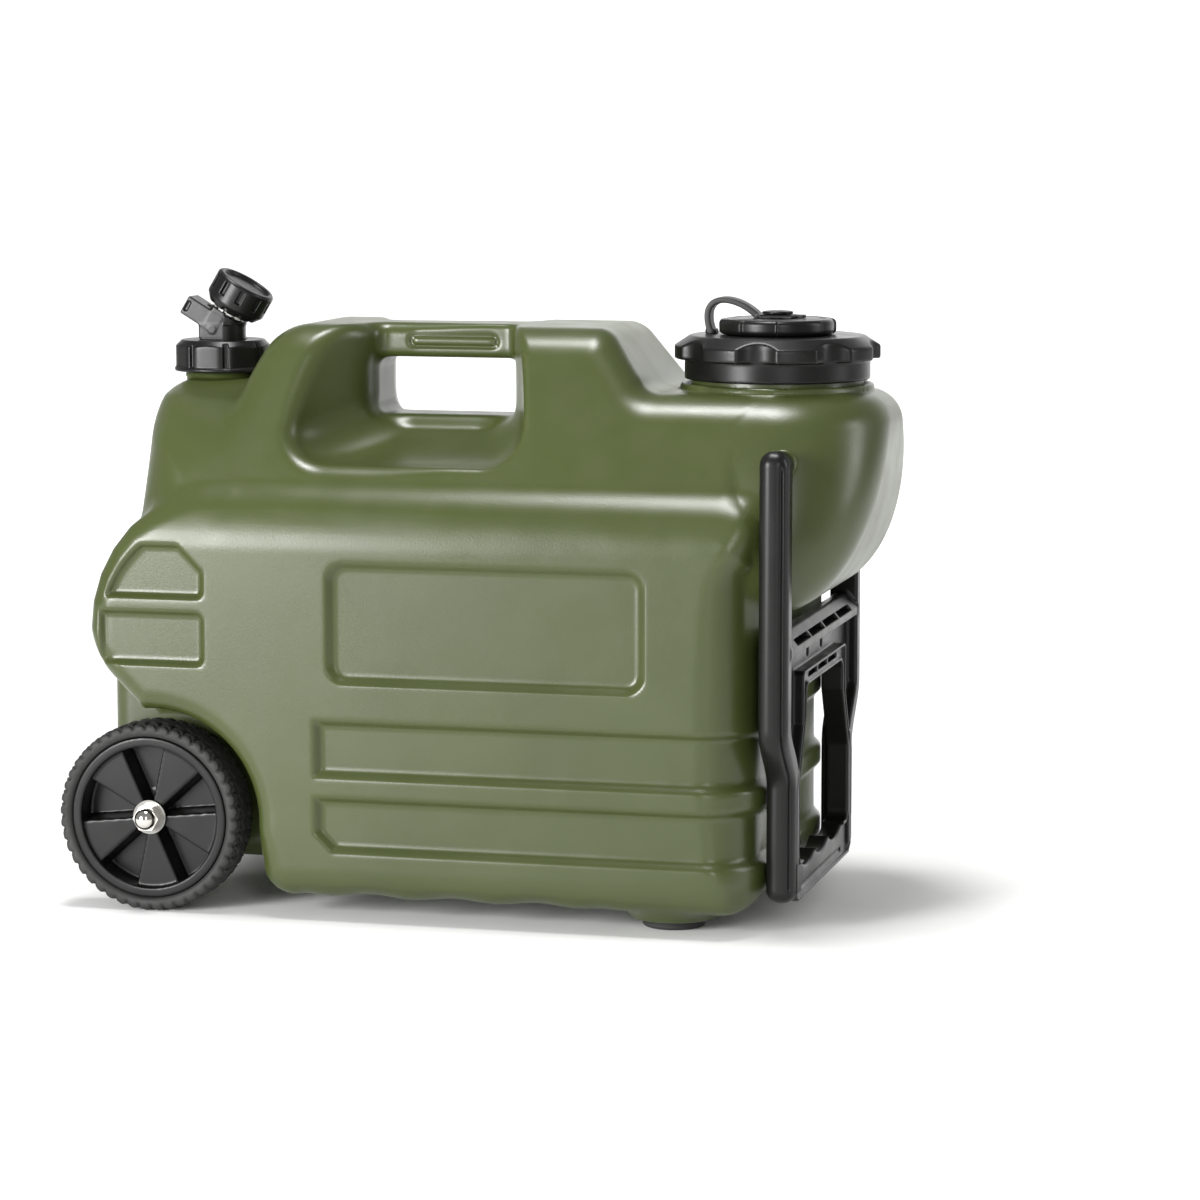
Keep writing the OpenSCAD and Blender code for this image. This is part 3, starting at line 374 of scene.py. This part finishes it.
def lower_block(x, side, z):
    """The wide part, with a sloped shoulder along both sides."""
    profile = outline(rounded([
        (TANK_LEFT, BASE_Z, 20), (TANK_RIGHT, BASE_Z, 24), (TANK_RIGHT, BLOCK_TOP, 16),
        (TANK_LEFT, BLOCK_TOP, BLOCK_CURVE),
    ]), x, z)
    shoulder = (side - BODY_HALF + z - SHOULDER_FOOT) * math.sqrt(0.5)
    right = mix(45, 20, ease((z - 220) / 40))
    radius = edge_radius(
        (x - TANK_LEFT, 16), (TANK_RIGHT - x, right), (z - BASE_Z, 22), (BLOCK_TOP - z, 14),
    )
    return common(profile, common(side - BODY_HALF, shoulder, 16), radius)


def side_wall(z):
    """Half the width of the upper part, which is drawn in towards the top."""
    return UPPER_HALF - DRAFT * (z - DRAFT_START)


def grip_part(x, side, z):
    """The upper part: the tap's deck, which sags to its sides, the grip and the lid's deck."""
    sag = 13 * ease((side - 20) / 58) * ease((-138 - x) / 22)
    profile = outline(rounded([
        (UPPER_LEFT, 235, 0), (190, 235, 0), (190, LID_DECK, 0), (114, LID_DECK, 16), (86, GRIP_TOP, 18),
        (-131, GRIP_TOP, 34), (-158, TAP_DECK, 14), (UPPER_LEFT, TAP_DECK, 27),
    ]), x, z + sag)
    section = (side - side_wall(z)) / math.hypot(1, DRAFT)
    rise = (GRIP_TOP - TAP_DECK) * ease((x + 162) / 30)
    fall = (GRIP_TOP - LID_DECK) * ease((x - 84) / 30)
    radius = edge_radius((x - UPPER_LEFT, 64), (TAP_DECK + rise - fall - z, 18))
    return common(profile, section, radius)


def bulge(x, side, z):
    """The bowl that carries the lid over the end of the tank."""
    deep = np.clip((BULGE_MID - z) / (BULGE_MID - BULGE_LOW), 0, 1)
    drawn_in = (BULGE_END - TANK_RIGHT) * (1 - np.sqrt(1 - deep * deep))
    half = 90
    plan = box(x - BULGE_END + half, side, half, side_wall(z), 68)
    return np.maximum(common(plan + drawn_in, z - LID_DECK, 20), BULGE_LOW - z)


def wheel_wells(x, side, z):
    """Room for the wheels, on both sides of a middle part."""
    arch = np.hypot(x - WELL[0], z - WELL[1]) - WELL_R
    below = np.maximum(x - WELL[0] - WELL_R, z - WELL[1])
    rise = np.maximum((x + 204 + z - 130) * SLANT, x + 165)
    return common(np.minimum(np.minimum(arch, below), rise), WELL_GAP_HALF - side, 8)


def hand_scoop(x, side, z):
    """Room for the hand on both sides of the grip bar, and the hole under the bar."""
    share = ease((side - BAR_HALF) / SCOOP_REACH)
    left = HOLE_X - HOLE_HALF - 38 * share
    right = HOLE_X + HOLE_HALF + 22 * share
    floor = mix(SCOOP_CREST, SCOOP_LIP, ease((side + BAR_HALF) / (SCOOP_REACH + 2 * BAR_HALF)))
    ends = np.maximum(left - x, x - right)
    scoop = common(common(ends, floor - z, 26), BAR_HALF - side, 8)
    middle = (SCOOP_CREST + BAR_LOW) / 2
    hole = box(x - HOLE_X, z - middle, HOLE_HALF, (BAR_LOW - SCOOP_CREST) / 2, 7)
    return joined(scoop, hole, 6)


RECESS_DEPTH = 4.6


def sunk(distance, ramp):
    """Depth of a recess at a distance inside its soft outer edge."""
    return RECESS_DEPTH * np.clip(-distance / ramp, 0, 1) ** 1.1


def recesses(x, z):
    """Depth of the sunk panel, the two strips and the two fields over the wheel."""
    panel = box(x - 24.5, z - 191.5, 104, 39.5, 13)
    high_strip = np.maximum(slab(z, 92, 130), -88 - x)
    low_strip = np.maximum(slab(z, 44, 81), np.maximum(-88 - x, (-78 - x + 46 - z) * SLANT))
    face_edge = np.where((x < -152) & (z > 177), np.hypot(x + 152, z - 177) - 80, -30)
    chamfer = (x + 172 + z - 234) * SLANT
    high_field = np.maximum(np.maximum(box(x + 200, z - 221, 40, 18, 6), chamfer), face_edge)
    low_field = np.maximum(box(x + 200, z - 178, 40, 18, 6), -232 - x)
    ramps = ((panel, 5.5), (high_strip, 5), (low_strip, 5), (high_field, 3.5), (low_field, 3.5))
    depth = 0
    for distance, ramp in ramps:
        depth = np.maximum(depth, sunk(distance, ramp))
    return depth


def bead(x, y, z, at, radius, height, thick):
    """A round ring that lies level."""
    return np.hypot(np.hypot(x - at, y) - radius, z - height) - thick


def base_ribs(x, z):
    """Depth of the grooves across the underside."""
    wave = 0.5 + 0.5 * np.cos(x * 2 * math.pi / 55)
    return 2.0 * wave * ease((24 - z) / 8) * ease((x + 105) / 10) * ease((110 - x) / 20)


def grip_groove(x, side, z):
    """Depth of the line on both faces of the grip bar."""
    line = box(x + 25, z - 363.5, 29, 3.6, 3.6)
    return 2.0 * ease(1 - np.abs(line) / 2.0) * (side < BAR_HALF + 3) * (side > 8)


def with_necks(body, x, y, z):
    """The tank with the necks for the lid and the tap, and their mouths."""
    lid_ring = np.hypot(x - LID_X, y)
    body = joined(body, np.maximum(lid_ring - LID_NECK_R, slab(z, 320, 354)), 2)
    body = joined(body, bead(x, y, z, LID_X, 59.4, LID_DECK + 1.8, 2.6), 1.5)
    tap_ring = np.hypot(x - TAP_X, y)
    body = joined(body, np.maximum(tap_ring - TAP_NECK_R, slab(z, 312, 350)), 3)
    body = joined(body, bead(x, y, z, TAP_X, 23.5, 338.2, 1.6), 1)
    for ring, mouth in ((lid_ring, LID_MOUTH_R), (tap_ring, TAP_MOUTH_R)):
        body = cut(body, np.maximum(ring - mouth, NECK_LOW - z), 1)
    return body


def tank_field(x, y, z):
    side = np.abs(y)
    upper = np.minimum(grip_part(x, side, z), bulge(x, side, z))
    body = joined(lower_block(x, side, z), upper, 9)
    body = body + recesses(x, z)
    body = body + base_ribs(x, z)
    body = cut(body, np.maximum(x - WELL[0] - WELL_R + 6, z - 28), 8)
    body = cut(body, wheel_wells(x, side, z), mix(22, 14, ease((z - 30) / 30)))
    crisp = mix(9, 3.5, ease((x + 60) / 60))
    body = cut(body, hand_scoop(x, side, z), crisp)
    body = body + grip_groove(x, side, z)
    body = with_necks(body, x, y, z)
    foot = np.hypot(x - FOOT_PLACE[0], side - FOOT_PLACE[1])
    body = joined(body, np.maximum(foot - FOOT_SEAT_R, slab(z, 7.5, 30)), 12)
    body = np.maximum(body, -np.maximum(foot - FOOT_STEM_R, z - 16))
    boss = np.maximum(np.hypot(x - PIVOT[0], z - PIVOT[1]) - 7.5, slab(side, 60, 101.5))
    return np.minimum(body, boss)


tank_low = (TANK_LEFT, -BODY_HALF, 0)
tank_high = (BULGE_END, BODY_HALF, GRIP_TOP)
tank = moulded("tank_moulding", tank_low, tank_high, 1.6, tank_field, GREEN)
piece(tank, "carrier", "tank")


# Wheels: a rim with raised sectors and a tyre with a block tread
RIM_R = 52.0
WHEEL_R = 61.0
WHEEL_INNER = 88.0
WHEEL_OUTER = 122.0
HUB_INNER = 82.4
SUNK_FACE = 104.0
SECTOR_RISE = 13.0
AXLE_BORE_R = 5.06
SECTORS = 5
SECTOR_TURN = math.radians(30)
TREAD_BLOCKS = 44


def about_axle(x, z):
    """Distance from the axle's line and the angle about it."""
    u = x - AXLE[0]
    w = z - AXLE[1]
    return np.hypot(u, w), np.arctan2(u, w)


def rim_field(x, y, z):
    ring, angle = about_axle(x, z)
    side = np.abs(y)
    wave = np.cos((angle - SECTOR_TURN) * SECTORS)
    edge = ring * np.arcsin(np.clip(wave, -1, 1)) / SECTORS
    rise = ease(edge / 3.0 + 0.9)
    face = SUNK_FACE + SECTOR_RISE * rise
    plate = np.maximum(ring - RIM_R + 3, slab(side, 100, face) * 0.5)
    band = common(np.abs(ring - RIM_R + 3) - 3, slab(side, WHEEL_INNER + 2, WHEEL_OUTER - 1.5), 0.8)
    hub = common(ring - 16, slab(side, HUB_INNER, SUNK_FACE), 0.8)
    core = common(ring - 8, slab(side, 100, 116.9), 0.8)
    whole = joined(joined(plate, band, 1.2), np.minimum(hub, core), 1)
    return np.maximum(whole, AXLE_BORE_R - ring)


def tyre_field(x, y, z):
    ring, angle = about_axle(x, z)
    middle = np.abs(y) - (WHEEL_INNER + WHEEL_OUTER) / 2
    tyre = box(ring - (RIM_R + WHEEL_R) / 2 - 0.05, middle, (WHEEL_R - RIM_R) / 2 - 0.05, 17, 4)
    turn = angle * TREAD_BLOCKS
    zigzag = 2.4 * np.arcsin(np.sin(turn)) * 2 / math.pi
    out = np.abs(middle)
    rows = np.minimum(np.abs(out - 6.5 - zigzag), np.abs(out - 13.5 + zigzag * 0.6))
    lugs = np.abs(np.arcsin(np.sin(turn / 2 + np.sign(middle) * 0.4))) * 2 * ring / TREAD_BLOCKS
    lugs = np.where(out > 6, lugs, 9)
    groove = np.minimum(rows - 0.2, lugs)
    return tyre + 1.7 * ease(1 - groove / 1.5) * ease((ring - 55.5) / 2.5)


def mirrored(thing, name):
    """The same piece on the other side of the middle plane."""
    mesh = thing.data.copy()
    mesh.name = name
    count = len(mesh.vertices)
    points = np.zeros(3 * count, np.float32)
    mesh.vertices.foreach_get("co", points)
    points[1::3] *= -1
    mesh.vertices.foreach_set("co", points)
    mesh.flip_normals()
    other = bpy.data.objects.new(name, mesh)
    bpy.context.scene.collection.objects.link(other)
    return other


wheel_low = (AXLE[0] - WHEEL_R, -WHEEL_OUTER, AXLE[1] - WHEEL_R)
wheel_high = (AXLE[0] + WHEEL_R, -82, AXLE[1] + WHEEL_R)
for part, field, voxel, material, slot in (
    ("rim", rim_field, 0.9, BLACK, "black_plastic"),
    ("tyre", tyre_field, 1.0, TYRE, "tyre_rubber"),
):
    name = f"wheel_{part}_right_moulding"
    right = moulded(name, wheel_low, wheel_high, voxel, field, material, even=False)
    left = mirrored(right, f"wheel_{part}_left_moulding")
    piece(right, "wheel_right", f"wheel_{part}_right")
    piece(left, "wheel_left", f"wheel_{part}_left")


# Pull handle: round-faced arms, a slotted crossbar, a web and a framed window with a finger grip
ARM_BACK = 198.5
ARM_FRONT = 217.5
ARM_T = 17.0
ARM_TOP = 306.0
ARM_MIDDLE = 90.5
ARM_SPREAD = 26.0
BEND_LOW = 94.0
BEND_HIGH = 134.0
HANDLE_LOW = 20.0
HANDLE_HALF = 125.0
BAR_BACK = 202.5
BAR_FOOT = 177.0
BAR_TOP = 192.0
FINGER_PITCH = 44.0
FINGER_R = 43.0
STUD_R = 5.95
WINDOW_SIDE = [(59.5, 153.5), (59.5, BEND_HIGH), (79.5, BEND_LOW), (79.5, 44)]
FRAME_SIDE = [(69.5, 163.5), (69.5, 130.7), (89.5, 90.7), (89.5, 26), (84, HANDLE_LOW)]


def both_halves(side, r):
    """A closed outline with one radius, from the corners of its right half."""
    corners = [(u, v, r) for u, v in side] + [(-u, v, r) for u, v in reversed(side)]
    return rounded(corners)


def rod(u, v, r, side, near, far):
    """A round rod across the tank, on both sides."""
    return np.maximum(np.hypot(u, v) - r, slab(side, near, far))


def arm_middle(z):
    """Place of an arm's middle line, which bends outwards above the window."""
    return ARM_MIDDLE + ARM_SPREAD * ease((z - BEND_LOW) / (BEND_HIGH - BEND_LOW))


def handle_arms(x, side, z):
    """Arms with a round outer face and a long groove."""
    bend = np.clip((z - BEND_LOW) / (BEND_HIGH - BEND_LOW), 0, 1)
    middle = arm_middle(z)
    steep = np.hypot(1, ARM_SPREAD / (BEND_HIGH - BEND_LOW) * 6 * bend * (1 - bend))
    across = np.abs(side - middle) / steep - ARM_T / 2
    r = np.where(side > middle, 8.3, 1.5)
    arm = common(slab(x, ARM_BACK, ARM_FRONT), across, r)
    groove = np.abs(x - 213.6) / 0.9
    groove_ends = ease((z - 27) / 3) * ease((297 - z) / 3)
    arm = arm + 1.6 * ease(1 - groove) * (side > middle + 1) * groove_ends
    return common(arm, slab(z, HANDLE_LOW, ARM_TOP), 9)


def handle_frame(x, y, z):
    """The frame about the window, with a sunk face, and the window's outline."""
    outer = outline(both_halves(FRAME_SIDE, 4), y, z)
    inner = outline(both_halves(WINDOW_SIDE, 7), y, z)
    sunk_face = ease((-outer - 1.8) / 0.8) * ease((inner - 1.8) / 0.8)
    face = ARM_FRONT - 2.0 * sunk_face
    frame_bar = common(outer, slab(x, BAR_BACK, face), 0.6)
    return frame_bar, inner


def crossbar(x, side, z):
    """Bar between the arms, with a lip at its front and a slope above the lip."""
    profile = outline(rounded([
        (BAR_BACK, BAR_FOOT, 1), (ARM_FRONT, BAR_FOOT, 1), (ARM_FRONT, 182.5, 1.2), (209.5, BAR_TOP, 3),
        (BAR_BACK, BAR_TOP, 2),
    ]), x, z)
    return np.maximum(profile, side - 112)


def handle_slots(x, y, z):
    """Slots in the crossbar and the frame, two round holes in the web, and a groove under the grip."""
    side = np.abs(y)
    bar_slots = box(np.abs(side - 45.25) - 22.6, z - 184.2, 20.4, 1.7, 0.6)
    top_slots = np.maximum(box(side - 32 * np.round(side / 32), z - 158.5, 14, 1.5, 0.6), side - 50)
    corner_slots = box(np.abs(side - 86) - 4, z - 36, 1, 9, 0.8)
    low_groove = box(y, z - 26, 64, 1.4, 1)
    holes = np.maximum(np.hypot(side - 22, z - 170) - 3.5, np.abs(x - 208) - 6)
    backs = ((bar_slots, 208.5), (top_slots, 211), (low_groove, 214.5), (corner_slots, 214))
    slots = holes
    for slot, back in backs:
        slots = np.minimum(slots, np.maximum(slot, back - x))
    return slots


def handle_field(x, y, z):
    side = np.abs(y)
    arms = handle_arms(x, side, z)
    bar = crossbar(x, side, z)
    web = np.maximum(slab(x, 206, 210), np.maximum(side - arm_middle(z), slab(z, 40, 184)))
    frame_bar, window = handle_frame(x, y, z)
    body = joined(joined(arms, bar, 2.5), joined(web, frame_bar, 1.5), 2)
    body = cut(body, window, 1)
    notch = np.abs(side - FINGER_PITCH * np.round(side / FINGER_PITCH))
    fingers = np.where(side < 1.5 * FINGER_PITCH, np.hypot(notch, z - 80) - FINGER_R, 9)
    body = cut(body, fingers, 1.5)
    body = np.maximum(body, -handle_slots(x, y, z))
    shoulder = rod(x - PIVOT[0], z - PIVOT[1], 9, side, 101.9, 110)
    stud = rod(x - PIVOT[0], z - PIVOT[1], STUD_R, side, 89.9, 110)
    return np.minimum(body, np.minimum(shoulder, stud))


handle_low = (ARM_BACK, -HANDLE_HALF, HANDLE_LOW)
handle_high = (ARM_FRONT, HANDLE_HALF, ARM_TOP)
handle = moulded("pull_handle_moulding", handle_low, handle_high, 0.9, handle_field, BLACK)
piece(handle, "handle", "pull_handle")


# Wide lid with lobes, and the filler cap with its strap
LID_TOP = 370.0
LID_LOW = 342.0
LID_R = 65.7
LOBES = 8
SKIRT_R = 59.3
SPOUT_R = 31.0
SPOUT_TOP = 375.9
CAP_LOW = 370.35
CAP_TOP = 380.4
CAP_R = 37.4
CAP_LUGS = 4


def around(x, y, at):
    """Distance from an upright axis and the angle about it."""
    return np.hypot(x - at, y), np.arctan2(y, x - at)


def folded(angle, count):
    """An angle measured from the nearest of evenly spaced directions."""
    pitch = 2 * math.pi / count
    return angle - pitch * np.round(angle / pitch)


def lid_field(x, y, z):
    ring, angle = around(x, y, LID_X)
    profile = outline(rounded([
        (-LID_R, 355, 0), (LID_R, 355, 1), (LID_R, 363.5, 1.5), (55.7, LID_TOP, 3), (-LID_R, LID_TOP, 0),
    ]), ring, z)
    turn = folded(angle, LOBES)
    scallop = np.hypot(ring * np.cos(turn) - LID_R - 13, ring * np.sin(turn)) - 19
    lobes = cut(profile, scallop, 1.2)
    skirt = common(ring - SKIRT_R, slab(z, LID_LOW, 364), 1)
    body = joined(lobes, skirt, 1)
    spout = common(ring - SPOUT_R, slab(z, 356, SPOUT_TOP), 0.8)
    body = np.minimum(body, spout)
    body = np.maximum(body, -np.maximum(ring - 55.35, z - 356))
    body = np.maximum(body, 27 - ring)
    groove = np.maximum(slab(ring, SPOUT_R, 47.5), z - 366)
    return np.maximum(body, -groove)


def cap_field(x, y, z):
    ring, angle = around(x, y, LID_X)
    lug = np.abs(folded(angle + math.radians(53.3), CAP_LUGS)) - math.radians(26)
    out = CAP_R - 1.5 * ease(lug * ring / 1.2 + 0.5)
    body = common(ring - out, slab(z, CAP_LOW, CAP_TOP), 3.2)
    rim = np.abs(ring - 29) - 0.8
    body = body + 0.7 * ease(1 - np.abs(rim) / 0.8) * (z > 378)
    body = np.maximum(body, -np.maximum(ring - 31.35, z - 377.4))
    return np.maximum(body, -np.maximum(ring - 4.56, 378.05 - z))


def about(at, reach, low, high):
    """Lowest and highest corners of the room about an upright axis."""
    return (at - reach, -reach, low), (at + reach, reach, high)


lid = moulded("wide_lid_moulding", *about(LID_X, LID_R + 0.5, LID_LOW, 376), 0.9, lid_field, BLACK)
piece(lid, "lid", "wide_lid")
cap = moulded("filler_cap_moulding", *about(LID_X, 38, 370, CAP_TOP), 0.7, cap_field, BLACK, even=False)
piece(cap, "cap", "filler_cap")


def curve(a, b, c, d, count):
    """Points of a smooth curve from its four corners."""
    share = np.linspace(0, 1, count)[:, None]
    rest = 1 - share
    a, b, c, d = (np.array(p, float) for p in (a, b, c, d))
    return rest ** 3 * a + 3 * share * rest ** 2 * b + 3 * share ** 2 * rest * c + share ** 3 * d


def near_line(points, u, v):
    """Distance from a line of points in the plane of u and v."""
    near = 1e12
    for a, b in zip(points[:-1], points[1:]):
        along = b - a
        t = np.clip(((u - a[0]) * along[0] + (v - a[1]) * along[1]) / (along @ along), 0, 1)
        near = np.minimum(near, (u - a[0] - t * along[0]) ** 2 + (v - a[1] - t * along[1]) ** 2)
    return np.sqrt(near)


STRAP_LOW = 380.75
STRAP_HIGH = 382.75
STRAP_FOOT = -43.0
BUTTON_R = 10.0
BUTTON_TOP = 385.5
STRAP_LINE = curve((-12.5, 381.75), (-28, 396.4), (-52, 396.4), (STRAP_FOOT, 371.5), 25)


def strap_field(x, y, z):
    u = x - LID_X
    ring = np.hypot(u, y)
    band = box(near_line(STRAP_LINE, u, z), y, 2.0, 6.0, 0.9)
    eye = common(ring - 13.5, slab(z, STRAP_LOW, STRAP_HIGH), 0.5)
    tail = common(box(u - 13, y, 5, 4, 1.5), slab(z, STRAP_LOW, STRAP_HIGH), 0.5)
    foot = common(box(u - STRAP_FOOT, y, 3.5, 5.2, 1.5), slab(z, 370, 373), 0.7)
    body = joined(joined(band, np.minimum(eye, tail), 0.8), foot, 1)
    return np.maximum(body, 4.85 - ring)


def button_field(x, y, z):
    ring = np.hypot(x - LID_X, y)
    top = BUTTON_TOP - 0.7 * (ring / BUTTON_R) ** 2 - 0.5 * ease(1 - np.abs(ring - 6) / 1.2)
    head = common(ring - BUTTON_R, slab(z, 383.1, top), 0.8)
    stem = np.maximum(ring - 4.5, slab(z, 378.4, 384))
    return np.minimum(head, stem)


strap_low = (LID_X - 52, -6.5, 370)
strap_high = (LID_X + 18.5, 6.5, 395)
strap = moulded("cap_strap_moulding", strap_low, strap_high, 0.6, strap_field, STRAP)
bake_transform(strap)
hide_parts("cap_strap")
button_room = about(LID_X, BUTTON_R, 378, BUTTON_TOP)
button = moulded("strap_button_moulding", *button_room, 0.5, button_field, BLACK)
piece(button, "cap_button", "strap_button")


# Tap: ring nut, body with a flat-sided spout, and the knob on its leaning axis
NUT_LOW = 340.8
NUT_TOP = 361.3
NUT_R = 32.0
NUT_SIDES = 8
NUT_RIM_TOP = 343.6
CHEEK_HALF = 8.5
CHEEK_RIGHT = TAP_X + 4.2
FLANGE_LOW = 352.45
KNOB_FOOT = 12.3
KNOB_R = 20.2
KNOB_SLOTS = 10
ELBOW = (TAP_X, 370.0)
LEAN = math.radians(31)


def nut_field(x, y, z):
    ring, angle = around(x, y, TAP_X)
    turn = folded(angle, NUT_SIDES)
    profile = outline(rounded([
        (-NUT_R, NUT_LOW, 0), (NUT_R, NUT_LOW, 0.6), (NUT_R, 343, 0.5), (31.2, NUT_RIM_TOP, 0),
        (31.2, 357.3, 1), (27.2, NUT_TOP, 1), (-NUT_R, NUT_TOP, 0),
    ]), ring, z)
    flats = ring * np.cos(turn) - np.where(z > 343.4, 30.4, 33)
    body = common(profile, flats, 0.5)
    gap = ring * np.abs(np.sin(folded(angle + math.pi / NUT_SIDES, NUT_SIDES)))
    groove = np.maximum(np.maximum(gap - 1.5, 29 - ring), NUT_RIM_TOP - z)
    body = cut(body, groove, 0.6)
    body = np.maximum(body, -np.maximum(ring - 24.35, z - 357.8))
    return np.maximum(body, 16 - ring)


def valve_axes(x, z):
    """Places along the spout and along the knob's axis."""
    dx = x - ELBOW[0]
    dz = z - ELBOW[1]
    return dx * math.cos(LEAN) - dz * math.sin(LEAN), dx * math.sin(LEAN) + dz * math.cos(LEAN)


def tap_field(x, y, z):
    side = np.abs(y)
    ring = np.hypot(x - TAP_X, y)
    u, w = valve_axes(x, z)
    axis_ring = np.hypot(u, y)
    flange = np.maximum(ring - 23, slab(z, FLANGE_LOW, 357.45))
    stub = np.maximum(ring - 15, slab(z, FLANGE_LOW, 371))
    cheek = common(slab(x, TAP_X - 14.3, CHEEK_RIGHT), slab(z, 361.7, 372), 0.6)
    cheek = common(cheek, side - CHEEK_HALF, 0.8)
    spout = common(box(u + 14, w, 14, 6.5, 0.8), side - CHEEK_HALF, 0.8)
    valve = common(axis_ring - 13, slab(w, -8, 9.5), 0.8)
    round_part = joined(stub, valve, 0.6)
    flat_side = np.maximum(np.maximum(CHEEK_HALF - side, x - CHEEK_RIGHT), 361 - z)
    body = joined(cut(round_part, flat_side, 0.5), joined(cheek, spout, 0.8), 0.5)
    body = np.minimum(body, flange)
    boss = np.hypot(x - ELBOW[0] + 5, z - ELBOW[1] + 2)
    body = np.minimum(body, common(boss - 3, slab(side, 5, 8.9), 0.2))
    body = np.maximum(body, -np.maximum(ring - 7.2, z - 363))
    body = np.maximum(body, -np.maximum(box(u + 15, w - 2.75, 15, 2.25, 0.3), side - 4))
    body = np.maximum(body, -np.maximum(axis_ring - 8, slab(w, 0, 5)))
    body = np.maximum(body, -np.maximum(axis_ring - 4.2, slab(w, -9, 1)))
    body = np.maximum(body, -np.maximum(axis_ring - 4.06, -w))
    body = np.maximum(body, -np.maximum(axis_ring - 6, 6.5 - w))
    end_slots = np.maximum(box(u + 25.5, w, 1.3, 3.6, 0.4), 7.4 - side)
    top_slot = np.maximum(box(u + 11.5, y, 4.6, 2.6, 0.5), 5.6 - w)
    return np.maximum(np.maximum(body, -end_slots), -top_slot)


def knob_field(x, y, z):
    u, w = valve_axes(x, z)
    ring = np.hypot(u, y)
    angle = np.arctan2(y, u)
    height = w - KNOB_FOOT
    profile = outline(rounded([
        (-21, 0, 0), (16.4, 0, 0.6), (KNOB_R, 5, 1), (KNOB_R, 19.5, 0.6), (18.9, 21, 0.6), (16.4, 21, 0.6),
        (15.4, 18.8, 0.6), (-21, 18.8, 0),
    ]), ring, height)
    gap = ring * np.abs(np.sin(folded(angle, KNOB_SLOTS)))
    slot = np.maximum(np.maximum(gap - 1.6, 17.8 - ring), slab(height, 9.2, 18.4))
    body = cut(profile, slot, 0.3)
    foot_gap = ring * np.abs(np.sin(folded(angle + math.pi / KNOB_SLOTS, KNOB_SLOTS)))
    notch = np.maximum(np.maximum(foot_gap - 1.6, 14.6 - ring), height - 2.6)
    body = np.maximum(body, -notch)
    return np.maximum(body, -np.maximum(ring - 4, height - 8))


nut = moulded("tap_ring_nut_moulding", *about(TAP_X, 33, NUT_LOW, NUT_TOP), 0.7, nut_field, BLACK)
piece(nut, "tap_nut", "tap_ring_nut")
tap = moulded("tap_body_moulding", (TAP_X - 29, -23, 352), (TAP_X + 23, 23, 392), 0.6, tap_field, BLACK)
piece(tap, "tap", "tap_body")
knob = moulded("tap_knob_moulding", (TAP_X - 14, -21, 368), (TAP_X + 38, 21, 410), 0.6, knob_field, BLACK)
piece(knob, "knob", "tap_knob")

# Frame nodes that keep their own shape
NODE_MATERIALS = {
    "axle": STEEL, "axle_washers": STEEL, "dome_nuts": CHROME,
    "foot_left": FOOT, "foot_right": FOOT,
    "lid_gasket": SEAL, "filler_cap_gasket": SEAL, "tap_gasket": SEAL,
    "spindle_oring": SEAL, "valve_washer": SEAL, "tap_spindle": WHITE,
}
for name, material in NODE_MATERIALS.items():
    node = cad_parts[name]
    node.data.materials.clear()
    node.data.materials.append(material)


# Floor and soft studio light
WORLD_STRENGTH = 0.3


def make_floor():
    """A pale floor that bends up into a backdrop."""
    size = 6.0
    rise = 4.0
    bend = 1.5
    steps = 8
    rows = []
    for k in range(steps + 1):
        a = math.radians(90 * k / steps)
        rows.append((size - bend + bend * math.sin(a), bend - bend * math.cos(a)))
    line = [(-size, 0.0)] + rows + [(size, rise)]
    points = np.array([(x, y, z) for y, z in line for x in (-size, size)])
    faces = np.array([(2 * i, 2 * i + 1, 2 * i + 3, 2 * i + 2) for i in range(len(line) - 1)])
    material = plastic("floor_paper", (0.90, 0.90, 0.895), (0.93, 0.93, 0.925), 0.7, 0.8, 300, 0.02)
    floor = mesh_object("floor", points, faces, material)


def area_light(name, place, target, size, power):
    data = bpy.data.lights.new(name, "AREA")
    data.shape = "RECTANGLE"
    data.size, data.size_y = size
    data.energy = power
    light = bpy.data.objects.new(name, data)
    bpy.context.scene.collection.objects.link(light)
    light.location = place
    light.rotation_euler = (Vector(target) - Vector(place)).to_track_quat("-Z", "Y").to_euler()


def make_lights():
    middle = (0, 0, 0.2)
    area_light("front_light", (-1.20, -1.95, 0.62), (0, 0, 0.25), (0.75, 0.95), 66)
    area_light("top_light", (-0.1, -0.1, 2.2), middle, (0.8, 0.5), 36)
    area_light("strip_light", (1.15, -2.55, 0.9), middle, (0.5, 1.4), 14)
    area_light("right_light", (2.1, 0.2, 0.9), middle, (0.4, 1.4), 11)
    area_light("backdrop_light", (0, 2.2, 2.6), (0, 5, 0.6), (3.0, 1.5), 200)
    world = bpy.data.worlds.new("studio")
    world.use_nodes = True
    background = world.node_tree.nodes["Background"]
    background.inputs["Color"].default_value = (1, 1, 1, 1)
    background.inputs["Strength"].default_value = WORLD_STRENGTH
    bpy.context.scene.world = world
    bpy.context.scene.view_settings.view_transform = "Standard"


make_floor()
make_lights()
